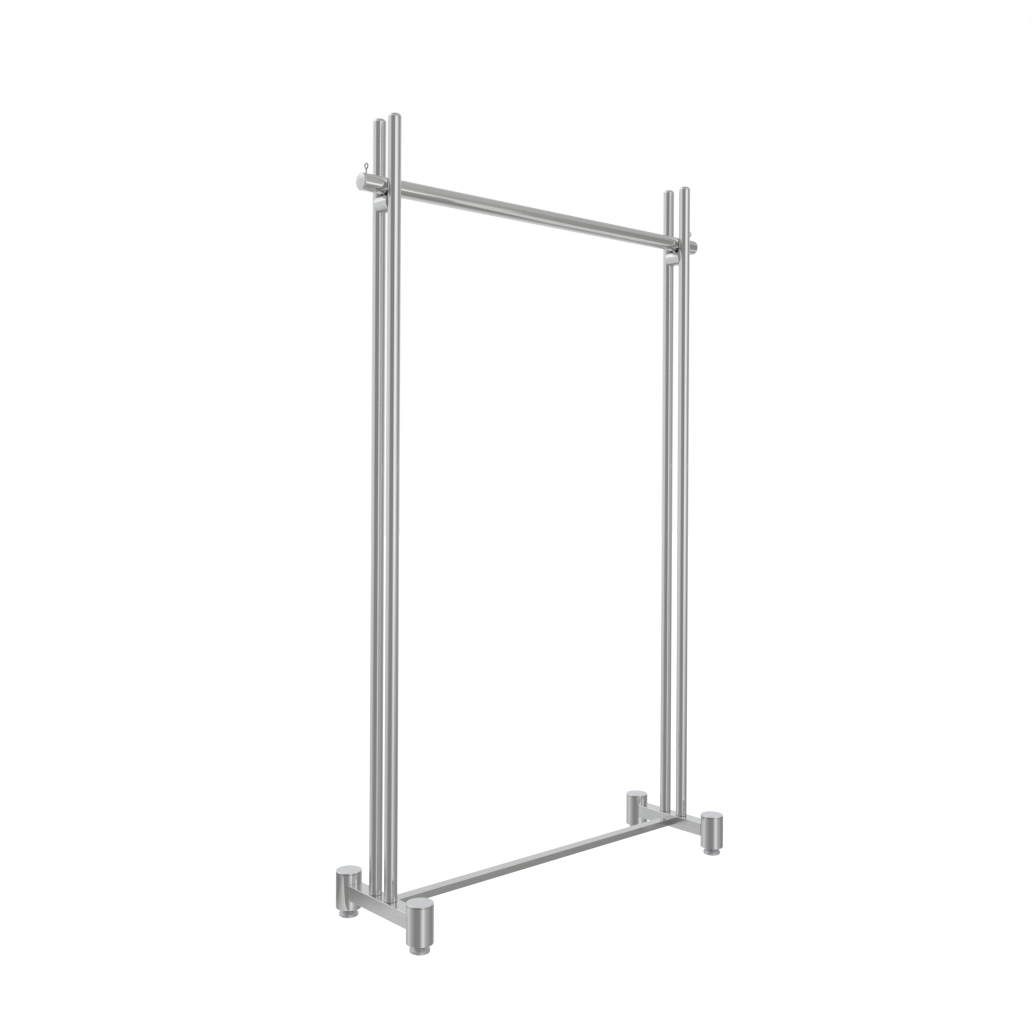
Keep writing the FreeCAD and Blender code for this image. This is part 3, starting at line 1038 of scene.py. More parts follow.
BODY_OF = {node: body for body, nodes in frame["record"]["behaviour"]["bodies"].items() for node in nodes}


def spin_axis(node: str) -> Axis:
    """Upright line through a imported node's middle, based at height zero."""
    centre = middle_of(node)
    return Axis(np.array([centre[0], centre[1], 0.0]), Z_AXIS, X_AXIS)


def fit(shell: Shell, node: str, finish: Finish) -> bpy.types.Object:
    """Makes a shell's piece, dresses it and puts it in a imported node's place.

    Args:
        shell: Skin of the piece.
        node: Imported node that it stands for.
        finish: Finish of the piece.

    Returns:
        The piece.
    """
    piece = shell.piece()
    piece.data.materials.append(finish.material())
    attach(piece, BODY_OF[node])
    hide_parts(node)
    return piece


def lathe(node: str, outline: Outline, finish: Finish, segments: int) -> None:
    """Turns an outline about a node's own upright line and fits it in the node's place.

    Args:
        node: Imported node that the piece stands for.
        outline: Its outline as (radius, height).
        finish: Finish of the piece.
        segments: Number of pieces round the circle.
    """
    shell = Shell(f"{node}_skin").add(turned(outline.runs, spin_axis(node), full_circle(segments)))
    fit(shell, node, finish)


@dataclass(frozen=True)
class HangingRail:
    """Thick round rail with domed ends and a blind hole for a stop pin near each."""

    diameter: float = RAIL_DIAMETER
    crown: float = 0.005
    knuckle: float = 0.0035
    hairline: float = 0.00015
    pin_hole: float = 0.0031
    hole_break: float = 0.00025
    hole_depth: float = 0.0323
    segments: int = 128
    window_cells: int = 6

    @property
    def radius(self) -> float:
        """Radius of the rail."""
        return self.diameter / 2.0

    @property
    def height(self) -> float:
        """Height of the rail's axis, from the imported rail."""
        return float(middle_of("hanging_rail")[2])

    def make(self) -> None:
        """Makes the rail and its two end caps."""
        low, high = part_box("hanging_rail")
        shell = Shell("hanging_rail_skin")
        axis = Axis(np.array([0.0, 0.0, self.height]), X_AXIS, Z_AXIS)
        angles = full_circle(self.segments)
        holes = [float(middle_of(f"{side.word}_stop_pin")[0]) for side in Side]
        cell = FULL_TURN / self.segments
        half_cells = self.window_cells // 2
        half_window = half_cells * cell * self.radius
        starts = [low[0], holes[0] + half_window, holes[1] + half_window]
        stops = [holes[0] - half_window, holes[1] - half_window, high[0]]
        for start, stop in zip(starts, stops):
            shell.add(turned([straight((self.radius, start), (self.radius, stop))], axis, angles))
        rest = angles[half_cells:self.segments - half_cells + 1]
        for place in holes:
            run = straight((self.radius, place - half_window), (self.radius, place + half_window),
                           self.window_cells)
            shell.add(turned([run], axis, rest))
            shell.add(self.pin_window(place, half_window, half_cells * cell))
        shell.add(turned([straight((0.0, low[0]), (self.radius, low[0]), 3)], axis, angles))
        shell.add(turned([straight((self.radius, high[0]), (0.0, high[0]), 3)], axis, angles))
        fit(shell, "hanging_rail", POLISHED_RAIL)
        for side in Side:
            self.end_cap(side, float(high[0] if side is Side.RIGHT else low[0]))

    def pin_window(self, place: float, half_length: float, half_angle: float) -> list[Patch]:
        """Fills the window over a pin hole.

        In plan the window's grid runs from its border to the hole's rim; every
        point is lifted onto the rail, at height axis + sqrt(radius^2 - y^2). The
        hole goes straight down from there.

        Args:
            place: Place of the hole along X.
            half_length: Half the window's length along X.
            half_angle: Half the window's angle round the rail.

        Returns:
            The patches of the window and the hole.
        """
        xs = np.linspace(place - half_length, place + half_length, self.window_cells + 1)
        ys = self.radius * np.sin(np.linspace(-half_angle, half_angle, self.window_cells + 1))
        wall = self.pin_hole / 2.0
        plan, rays = pierced(window_outline(xs, ys), (place, 0.0), wall + self.hole_break)
        rise = np.sqrt(self.radius ** 2 - plan[..., 1] ** 2)
        points = np.concatenate([plan, (self.height + rise)[..., None]], axis=2)
        normals = np.stack([np.zeros_like(rise), plan[..., 1], rise], axis=2) / self.radius
        lengths = np.stack([self.radius * np.arcsin(plan[..., 1] / self.radius), plan[..., 0]], axis=2)
        floor = self.height + self.radius - self.hole_depth
        hole = bored(plan[0], rays, (place, 0.0), wall, self.height + rise[0], self.hole_break, floor, 1.0)
        return [Patch(points, normals, lengths)] + hole

    def end_cap(self, side: Side, mouth: float) -> None:
        """Makes the shallow dome at one end of the rail.

        The outline is a flat base, a knuckle arc tangent to the rail and a crown
        arc tangent to the knuckle that ends on the axis; it is turned about the rail.

        Args:
            side: Which end.
            mouth: Place of the rail's end along X.
        """
        rim = self.radius - self.knuckle
        spread = rim ** 2 + self.crown ** 2 - self.knuckle ** 2
        crown_radius = spread / (2.0 * (self.crown - self.knuckle))
        crown_centre = self.crown - crown_radius
        meet = 90.0 - math.degrees(math.atan2(rim, -crown_centre))
        lead = math.asin(self.hairline / self.knuckle)
        lip = (rim + self.knuckle * math.cos(lead), self.hairline)
        outline = Outline(0.0, 0.0).to(self.radius - self.hairline, 0.0, 2).to(*lip, edge=0.3)
        outline.turn(self.knuckle, math.degrees(lead), meet, 14)
        outline.turn(crown_radius, meet, 90.0, 24, edge=0.0)
        axis = Axis(np.array([mouth, 0.0, self.height]), side.value * X_AXIS, Z_AXIS)
        shell = Shell(f"{side.word}_rail_cap_skin")
        shell.add(turned(outline.runs, axis, full_circle(self.segments)))
        fit(shell, f"{side.word}_rail_cap", POLISHED_RAIL)


@dataclass(frozen=True)
class Uprights:
    """The pair of tubes of one end frame, saddled round the rail and capped, with a tie between them."""

    diameter: float = UPRIGHT_DIAMETER
    cap_height: float = 0.009
    cap_round: float = 0.008
    hairline: float = 0.00012
    tie_diameter: float = TIE_DIAMETER
    tie_length: float = 0.044
    straight_share: float = 0.6
    saddle_room: float = 0.012
    saddle_columns: int = 40
    plain_columns: int = 72
    saddle_rows: int = 24
    wall_rows: int = 6
    cap_segments: int = 96
    tie_segments: int = 160
    rail: HangingRail = HangingRail()

    @property
    def radius(self) -> float:
        """Radius of an upright."""
        return self.diameter / 2.0

    def make(self, side: Side) -> None:
        """Makes both uprights, their caps and their tie.

        Args:
            side: Which end frame.
        """
        for end in End:
            self.tube(side, end)
            self.cap(side, end)
        self.tie(side)

    def columns(self, offset: float) -> Array:
        """Angles round an upright, from the way that faces the rail.

        Args:
            offset: Distance of the upright's axis from the rail's.

        Returns:
            Angles with a column on each end of the saddle, the first repeated.
        """
        last = math.acos((offset - self.rail.radius) / self.radius)
        near = np.linspace(-last, last, self.saddle_columns + 1)
        return np.concatenate([near, np.linspace(last, FULL_TURN - last, self.plain_columns + 1)[1:]])

    def axis(self, node: str, sign: float) -> Axis:
        """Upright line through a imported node, its angle zero facing the rail."""
        centre = middle_of(node)
        return Axis(np.array([centre[0], centre[1], 0.0]), Z_AXIS, -sign * Y_AXIS)

    def tube(self, side: Side, end: End) -> None:
        """Makes one upright.

        Below and above the rail the wall is a round tube whose rows end on the
        saddle's edge, at height axis -+ sqrt(R^2 - d^2) for the distance d of that
        column from the rail's middle plane. Between the edges the wall follows the
        rail: (y, z) = R * (cos t, sin t). Columns that miss the rail close to a
        point there and weld shut.

        Args:
            side: Which end frame.
            end: Front or rear.
        """
        node = f"{side.word}_{end.word}_upright"
        low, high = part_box(node)
        axis = self.axis(node, end.value)
        offset, rail_radius, rail_z = abs(float(axis.base[1])), self.rail.radius, self.rail.height
        angles = self.columns(offset)
        distance = offset - self.radius * np.cos(angles)
        half = np.sqrt(np.clip(rail_radius ** 2 - distance ** 2, 0.0, None))
        half[np.isclose(distance, rail_radius, rtol=0.0, atol=1e-9)] = 0.0
        room = rail_radius + self.saddle_room
        edge = self.hairline
        lower = Outline(0.0, low[2]).to(self.radius - edge, low[2], 2).to(self.radius, low[2] + edge)
        lower.to(self.radius, rail_z - room)
        upper = Outline(self.radius, rail_z + room).to(self.radius, high[2] - edge)
        upper.to(self.radius - edge, high[2], edge=0.3).to(0.0, high[2], 2)
        shell = Shell(f"{node}_skin")
        for outline in (lower, upper):
            shell.add(turned(outline.runs, axis, angles))
        rays = axis.rays(angles)
        share = np.linspace(0.0, 1.0, self.wall_rows + 1)[:, None]
        for sign in (-1.0, 1.0):
            rise = rail_z + sign * (half[None] + share * (room - half)[None])
            points = axis.base + self.radius * rays[None] + rise[..., None] * Z_AXIS
            lengths = paired(self.radius * angles[None], rise)
            shell.add([Patch(points, np.broadcast_to(rays, points.shape), lengths)])
        sweep = np.linspace(-1.0, 1.0, self.saddle_rows + 1)[:, None] * np.arcsin(half / rail_radius)[None]
        depth = np.where(half > 0.0, rail_radius * np.cos(sweep), distance)
        across = np.broadcast_to(axis.base[0] + self.radius * rays[:, 0], sweep.shape)
        points = np.stack([across, end.value * depth, rail_z + rail_radius * np.sin(sweep)], axis=2)
        normals = np.stack([np.zeros_like(sweep), -end.value * np.cos(sweep), -np.sin(sweep)], axis=2)
        shell.add([Patch(points, normals, np.stack([across, rail_radius * sweep], axis=2))])
        fit(shell, node, UPRIGHT_TUBE)

    def cap(self, side: Side, end: End) -> None:
        """Makes the button on top of one upright: a short wall and a wide rounded rim.

        Args:
            side: Which end frame.
            end: Front or rear.
        """
        node = f"{side.word}_{end.word}_upright_cap"
        top = float(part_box(node)[1][2])
        base = top - self.cap_height
        edge = self.hairline
        outline = Outline(0.0, base).to(self.radius - edge, base, 2).to(self.radius, base + edge, edge=0.3)
        outline.to(self.radius, top - self.cap_round).turn(self.cap_round, 0.0, 90.0, 14, edge=0.4)
        lathe(node, outline.to(0.0, top, 4), POLISHED_TUBE, self.cap_segments)

    def tie(self, side: Side) -> None:
        """Makes the short round bar between the uprights.

        A circle is carried along Y. A point a across stops where the upright's round
        is met, at offset - sqrt(R^2 - a^2), or at the bar's flat end if that is nearer.

        Args:
            side: Which end frame.
        """
        node = f"{side.word}_tie_rod"
        centre = middle_of(node)
        offset = abs(float(middle_of(f"{side.word}_front_upright_cap")[1]))
        ring = self.tie_diameter / 2.0
        track = Track(np.array([centre[0], 0.0, centre[2]]), X_AXIS, Z_AXIS, Y_AXIS)

        def reach(a: Array) -> Array:
            """Half length of the tie at each place across."""
            round_end = offset - np.sqrt(np.clip(self.radius ** 2 - a ** 2, 0.0, None))
            return np.minimum(round_end, self.tie_length / 2.0)

        runs = [bend((0.0, 0.0), ring, -90.0, 270.0, self.tie_segments, edge=0.0)]
        stations = np.linspace(-self.straight_share, self.straight_share, 7) * (offset - self.radius)
        shell = Shell(f"{node}_skin").add(carried(runs, track, stations, reach))
        shell.add(stopped(runs, track, 0.0, reach, 24))
        fit(shell, node, TIE_BAR)


@dataclass(frozen=True)
class FootBar:
    """Flat bar of one end frame, coped round its posts and counterbored from below."""

    width: float = 0.036
    height: float = 0.032
    edge_round: float = 0.0008
    post_diameter: float = POST_DIAMETER
    base_cells: int = 10
    band_cells: int = 8
    band_half: float = 0.012
    frame_bore: float = 0.014
    frame_bore_depth: float = 0.009
    stretcher_bore: float = 0.011
    stretcher_bore_depth: float = 0.004
    bore_break: float = 0.0003

    def make(self, side: Side) -> None:
        """Makes the bar.

        A rounded rectangle is carried along Y between ends that follow the posts, at
        distance pitch / 2 - sqrt(R^2 - a^2). Its base is filled band by band: plain
        strips, and windows with a counterbore in each.

        Args:
            side: Which end frame.
        """
        node = f"{side.word}_foot_bar"
        centre = middle_of(node)
        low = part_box(node)[0][2]
        pitch_half = abs(float(middle_of(f"{side.word}_front_post_cap")[1]))
        track = Track(np.array([centre[0], 0.0, low]), X_AXIS, Z_AXIS, Y_AXIS)

        def reach(a: Array) -> Array:
            """Half length of the bar at each place across."""
            return pitch_half - np.sqrt((self.post_diameter / 2.0) ** 2 - a ** 2)

        runs = rounded_block(self.width, self.height, self.edge_round, self.base_cells)
        bolt_y = abs(float(middle_of(f"{side.word}_front_upright_cap")[1]))
        screw_x = float(middle_of(f"{side.word}_stretcher_bolt")[0])
        bands = [
            (-bolt_y, centre[0], self.frame_bore, self.frame_bore_depth),
            (0.0, screw_x, self.stretcher_bore, self.stretcher_bore_depth),
            (bolt_y, centre[0], self.frame_bore, self.frame_bore_depth),
        ]
        stations = np.concatenate([np.linspace(y - self.band_half, y + self.band_half, self.band_cells + 1)
                                   for y, *_ in bands])
        shell = Shell(f"{node}_skin")
        shell.add(carried(runs[1:], track, stations, reach))
        shell.add(stopped(runs, track, self.height / 2.0, reach, 6))
        xs = centre[0] + runs[0].points[:, 0]
        borders = stations.reshape(len(bands), -1)[:, [0, -1]]
        shell.add(self.strips(xs, low, borders, reach(runs[0].points[:, 0])))
        for y, x, bore, depth in bands:
            ys = np.linspace(y - self.band_half, y + self.band_half, self.band_cells + 1)
            plan, rays = pierced(window_outline(xs, ys), (x, y), bore / 2.0 + self.bore_break)
            points = np.concatenate([plan, np.full((*plan.shape[:2], 1), low)], axis=2)
            shell.add([Patch(points, np.broadcast_to(-Z_AXIS, points.shape), plan[..., ::-1])])
            shell.add(bored(plan[0], rays, (x, y), bore / 2.0, np.full(len(rays), low), self.bore_break,
                            low + depth, -1.0))
        fit(shell, node, SATIN_BAR)

    def strips(self, xs: Array, low: float, borders: Array, ends: Array) -> list[Patch]:
        """Fills the base between the counterbored bands.

        Args:
            xs: Places of the base's columns along X.
            low: Height of the base.
            borders: First and last Y of each band.
            ends: Half length of the bar at each column.

        Returns:
            The strip patches.
        """
        edges = [np.stack([-ends, np.full_like(ends, borders[0, 0])])]
        for before, after in zip(borders[:-1, 1], borders[1:, 0]):
            edges.append(np.stack([np.full_like(ends, before), np.full_like(ends, after)]))
        edges.append(np.stack([np.full_like(ends, borders[-1, 1]), ends]))
        strips = []
        for ys in edges:
            wide = np.broadcast_to(xs, ys.shape)
            points = np.stack([wide, ys, np.full_like(ys, low)], axis=2)
            strips.append(Patch(points, np.broadcast_to(-Z_AXIS, points.shape), np.stack([ys, wide], axis=2)))
        return strips


@dataclass(frozen=True)
class Stretcher:
    """Low rectangular tube that ties the two foot bars together."""

    width: float = 0.025
    height: float = 0.017
    edge_round: float = 0.001
    bite: float = 0.0005
    straight_half: float = 0.4

    def make(self) -> None:
        """Carries a rounded rectangle along X, from just inside one bar's face to the other's."""
        low = float(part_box("stretcher")[0][2])
        inner = float(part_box("right_foot_bar")[0][0]) + self.bite
        track = Track(np.array([0.0, 0.0, low]), -Y_AXIS, Z_AXIS, X_AXIS)

        def reach(a: Array) -> Array:
            """Half length of the stretcher, the same everywhere."""
            return np.full_like(a, inner)

        runs = rounded_block(self.width, self.height, self.edge_round)
        stations = np.linspace(-self.straight_half, self.straight_half, 9)
        shell = Shell("stretcher_skin").add(carried(runs, track, stations, reach))
        shell.add(stopped(runs, track, self.height / 2.0, reach, 2))
        fit(shell, "stretcher", SATIN_STRETCHER)


@dataclass(frozen=True)
class StopPin:
    """Ring-headed pin that stands in a blind hole near the rail's end."""

    diameter: float = 0.003
    ring_diameter: float = 0.0135
    wire: float = 0.0028
    tip: float = 0.0006
    collar: float = 0.0009
    ring_segments: int = 72
    wire_segments: int = 28
    stem_segments: int = 40

    def make(self, side: Side) -> None:
        """Makes the ring and the stem.

        The ring is a torus in the YZ plane: centre + (R + w cos v) (cos u, sin u) +
        w sin v along X. The stem is turned, and flares under the ring.

        Args:
            side: Which end of the rail.
        """
        node = f"{side.word}_stop_pin"
        low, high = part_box(node)
        centre = middle_of(node)
        wire, ring = self.wire / 2.0, (self.ring_diameter - self.wire) / 2.0
        ring_z = float(high[2]) - self.ring_diameter / 2.0
        u, v = full_circle(self.ring_segments)[:, None], full_circle(self.wire_segments)[None, :]
        rays = np.stack(np.broadcast_arrays(0.0 * u, np.cos(u), np.sin(u)), axis=2)
        normals = np.cos(v)[..., None] * rays + np.sin(v)[..., None] * X_AXIS
        points = np.array([centre[0], centre[1], ring_z]) + ring * rays + wire * normals
        lengths = paired(ring * u, wire * v)
        shell = Shell(f"{node}_skin").add([Patch(points, normals, lengths)])
        radius, top = self.diameter / 2.0, ring_z - ring
        neck, foot = top - wire - self.collar, float(low[2])
        outline = Outline(0.0, foot).to(radius - self.tip, foot).to(radius, foot + self.tip, edge=0.5)
        outline.to(radius, neck).turn(self.collar, 180.0, 120.0, 5, edge=0.0)
        outline.to(outline.pen[0], top).to(0.0, top)
        shell.add(turned(outline.runs, spin_axis(node), full_circle(self.stem_segments)))
        fit(shell, node, DRAWN_WIRE)


@dataclass(frozen=True)
class FootPost:
    """Fat post at one end of a foot bar: tube, cap disc, tapped bushing, spindle and glide."""

    diameter: float = POST_DIAMETER
    wall: float = 0.003
    bottom_round: float = 0.0015
    edge_break: float = 0.0004
    cap_thickness: float = 0.0034
    cap_round: float = 0.0014
    bore: float = 0.0101
    bushing_lead: float = 0.0008
    bushing_break: float = 0.0003
    glide_diameter: float = 0.042
    glide_rim: float = 0.0065
    glide_round: float = 0.0025
    glide_neck: float = 0.034
    glide_height: float = 0.012
    glide_break: float = 0.0006
    glide_hole: float = 0.0081
    glide_floor: float = 0.003
    stem: float = 0.0074
    stem_lift: float = 0.0015
    overlap: float = 0.0002
    hexagon: float = 0.017
    hexagon_height: float = 0.0034
    hexagon_gap: float = 0.0005
    chamfer_share: float = 0.97
    chamfer_slope: float = math.radians(30.0)
    thread: float = 0.010
    thread_pitch: float = 0.0015
    thread_depth: float = 0.00085
    segments: int = 128
    stem_segments: int = 48
    thread_segments: int = 40
    rows_per_pitch: int = 10

    def make(self, side: Side, end: End) -> None:
        """Makes the five pieces of one post.

        Args:
            side: Which end frame.
            end: Front or rear.
        """
        corner = f"{side.word}_{end.word}"
        self.tube(f"{corner}_post")
        self.cap(f"{corner}_post_cap")
        self.bushing(f"{corner}_post_bushing")
        self.glide(f"{corner}_glide")
        self.spindle(f"{corner}_spindle")

    def tube(self, node: str) -> None:
        """Makes the tube: a rounded lower rim, a broken upper edge and a plain bore."""
        low, high = (float(corner[2]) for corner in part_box(node))
        outer, inner, corner = self.diameter / 2.0, self.diameter / 2.0 - self.wall, self.edge_break
        outline = Outline(inner, low).to(outer - self.bottom_round, low)
        outline.turn(self.bottom_round, -90.0, 0.0, 8, edge=0.7).to(outer, high - corner)
        outline.to(outer - corner, high, edge=0.2).to(inner, high).to(inner, low)
        lathe(node, outline, POST_TUBE, self.segments)

    def cap(self, node: str) -> None:
        """Makes the disc: a spigot, a broken lower edge, a short wall, a round and a faced top."""
        top = float(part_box(node)[1][2])
        base, foot = top - self.cap_thickness, float(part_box(node)[0][2])
        outer, inner, corner = self.diameter / 2.0, self.diameter / 2.0 - self.wall, self.edge_break
        outline = Outline(0.0, foot).to(inner, foot).to(inner, base).to(outer - corner, base)
        outline.to(outer, base + corner, edge=0.2).to(outer, top - self.cap_round)
        outline.turn(self.cap_round, 0.0, 90.0, 8).to(0.0, top, 12)
        lathe(node, outline, TURNED_CAP, self.segments)

    def bushing(self, node: str) -> None:
        """Makes the plug in the foot of the post, bored and broken at its mouth."""
        low, high = (float(corner[2]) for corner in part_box(node))
        outer, bore = self.diameter / 2.0 - self.wall, self.bore / 2.0
        lead, corner = self.bushing_lead, self.bushing_break
        outline = Outline(bore + lead, low).to(outer - corner, low, 4).to(outer, low + corner, edge=0.3)
        outline.to(outer, high).to(bore, high).to(bore, low + lead).to(bore + lead, low, edge=0.5)
        lathe(node, outline, MACHINED_STEEL, self.segments)

    def glide(self, node: str) -> None:
        """Makes the pad: a rounded rim, a shoulder that sweeps in to the neck, and a hole for the stem."""
        low = float(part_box(node)[0][2])
        rim, neck, hole = self.glide_diameter / 2.0, self.glide_neck / 2.0, self.glide_hole / 2.0
        top, shoulder, small = low + self.glide_height, low + self.glide_rim, self.glide_break
        slope = math.degrees(math.atan2(rim - neck, top - shoulder))
        outline = Outline(0.0, low).to(rim - self.glide_round, low, 3)
        outline.turn(self.glide_round, -90.0, 0.0, 8, edge=0.8).to(rim, shoulder - small)
        outline.turn(small, 0.0, slope).to(neck, top - small, 3).to(neck - small / 2.0, top, edge=0.6)
        outline.to(hole, top).to(hole, low + self.glide_floor).to(0.0, low + self.glide_floor)
        lathe(node, outline, TURNED_PAD, self.segments)

    def spindle(self, node: str) -> None:
        """Makes the levelling screw: swivel stem, hexagon and thread.

        Args:
            node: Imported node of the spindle.
        """
        low, high = (float(corner[2]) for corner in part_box(node))
        axis = spin_axis(node)
        glide_top = float(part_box(node.replace("spindle", "glide"))[1][2])
        hex_low = glide_top + self.hexagon_gap
        hex_high = hex_low + self.hexagon_height
        stem, foot = self.stem / 2.0, low + self.stem_lift
        outline = Outline(0.0, foot).to(stem, foot).to(stem, hex_low + self.overlap)
        outline.to(0.0, hex_low + self.overlap)
        shell = Shell(f"{node}_skin").add(turned(outline.runs, axis, full_circle(self.stem_segments)))
        shell.add(self.hexagon_patches(axis, hex_low, hex_high))
        shell.add(self.thread_patches(axis, hex_high - self.overlap, high))
        fit(shell, node, MACHINED_STEEL)

    def hexagon_patches(self, axis: Axis, low: float, high: float) -> list[Patch]:
        """Makes a hexagon with chamfered corners.

        A flat lies at half the width across flats; a point t along it is at
        distance sqrt(flat^2 + t^2) from the axis. Past the chamfer's circle each end
        face falls away at thirty degrees, so the flat's ends curve.

        Args:
            axis: Line of the spindle.
            low: Height of the lower face.
            high: Height of the upper face.

        Returns:
            The patches of the flats, the chamfers and the end faces.
        """
        flat = self.hexagon / 2.0
        circle, cells = flat * self.chamfer_share, 8
        t = np.linspace(-1.0, 1.0, cells + 1) * flat / math.sqrt(3.0)
        far = np.sqrt(flat ** 2 + t ** 2)
        drop = (far - circle) * math.tan(self.chamfer_slope)
        patches = []
        for face in range(6):
            turn = face * math.pi / 3.0
            ray = math.cos(turn) * axis.side + math.sin(turn) * axis.other
            way = -math.sin(turn) * axis.side + math.cos(turn) * axis.other
            plan = flat * ray + t[:, None] * way
            unit = plan / far[:, None]
            levels = np.stack([low + drop, high - drop])
            wall = axis.base + plan[None] + levels[..., None] * Z_AXIS
            patches.append(Patch(wall, np.broadcast_to(ray, wall.shape), wall[..., :2]))
            for level, sign in ((low, -1.0), (high, 1.0)):
                outer = axis.base + plan + (level - sign * drop)[:, None] * Z_AXIS
                inner = axis.base + circle * unit + level * Z_AXIS
                cone = math.sin(self.chamfer_slope) * unit + sign * math.cos(self.chamfer_slope) * Z_AXIS
                chamfer = np.stack([inner, outer])
                patches.append(Patch(chamfer, np.broadcast_to(cone, chamfer.shape), chamfer[..., :2], 0.8))
                patches.append(cover(inner, axis.base + level * Z_AXIS, sign * Z_AXIS))
        return patches

    def thread_patches(self, axis: Axis, low: float, high: float) -> list[Patch]:
        """Makes the thread.

        The radius at angle a and height z is the crest less the depth times
        (1 - cos(2 pi (z / pitch - a / 2 pi))) / 2, a right-hand screw. The normal is
        the outward ray less the slopes of that radius round and up.

        Args:
            axis: Line of the spindle.
            low: Height of the thread's start.
            high: Height of its end.

        Returns:
            The patches of the thread and its two ends.
        """
        angles = full_circle(self.thread_segments)
        rows = int((high - low) / self.thread_pitch * self.rows_per_pitch)
        heights = np.linspace(low, high, rows + 1)
        phase = FULL_TURN * heights[:, None] / self.thread_pitch - angles[None]
        radius = self.thread / 2.0 - self.thread_depth * (1.0 - np.cos(phase)) / 2.0
        slope = -self.thread_depth * np.sin(phase) / 2.0
        rays = axis.rays(angles)
        ways = -np.sin(angles)[:, None] * axis.side + np.cos(angles)[:, None] * axis.other
        points = axis.base + radius[..., None] * rays[None] + heights[:, None, None] * Z_AXIS
        normals = (rays[None] + (slope / radius)[..., None] * ways[None]
                   - (slope * FULL_TURN / self.thread_pitch)[..., None] * Z_AXIS)
        lengths = paired(angles[None] * radius, heights[:, None])
        patches = [Patch(points, normals, lengths)]
        for ring, sign in ((points[0], -1.0), (points[-1], 1.0)):
            patches.append(cover(ring, axis.base + ring[0, 2] * Z_AXIS, sign * Z_AXIS))
        return patches


class HiddenScrews:
    """Screws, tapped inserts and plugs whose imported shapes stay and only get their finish."""

    WORDS = ("post_bolts", "upright_bolts", "stretcher_bolt", "stretcher_plug", "upright_insert")

    def dress(self) -> None:
        """Gives every such node the machined finish."""
        for node, piece in frame["nodes"].items():
            if node.endswith(self.WORDS):
                piece.data.materials.clear()
                piece.data.materials.append(MACHINED_STEEL.material())
                LOG.info("%-30s kept, finish %s", node, MACHINED_STEEL.name)


# ---------------------------------------------------------------- studio


@dataclass(frozen=True)
class Wall:
    """One belt of the studio round the stand: (azimuth in degrees, brightness) from +X towards +Y."""

    name: str
    stops: tuple[tuple[float, float], ...]


@dataclass(frozen=True)
class Card:
    """A flat card that only reflections see.

    corners run round it as (x, y). Its brightness goes from the first level to the
    second while y goes from the first place of fade to the second.
    """

    name: str
    corners: tuple[tuple[float, float], ...]
    height: float
    levels: tuple[float, float]
    fade: tuple[float, float] = (0.0, 1.0)

    def make(self) -> None:
        """Hangs the card level in the studio."""
        mesh = bpy.data.meshes.new(self.name)
        corners = [(x, y, self.height) for x, y in self.corners]
        mesh.from_pydata(corners, [], [tuple(range(len(corners)))])
        card = linked(self.name, mesh)
        paint = bpy.data.materials.new(self.name)
        sheet = Sheet.blank(paint)
        glow = sheet.node("ShaderNodeEmission")
        glow.inputs["Color"].default_value = WHITE
        depth = sheet.parts(sheet.node("ShaderNodeTexCoord").outputs["Object"])[1]
        sheet.feed(glow.inputs["Strength"], sheet.spread(depth, *self.fade, *self.levels))
        sheet.feed(sheet.node("ShaderNodeOutputMaterial").inputs["Surface"], glow.outputs[0])
        mesh.materials.append(paint)
        card.visible_camera = False
        card.visible_diffuse = False
        card.visible_shadow = False


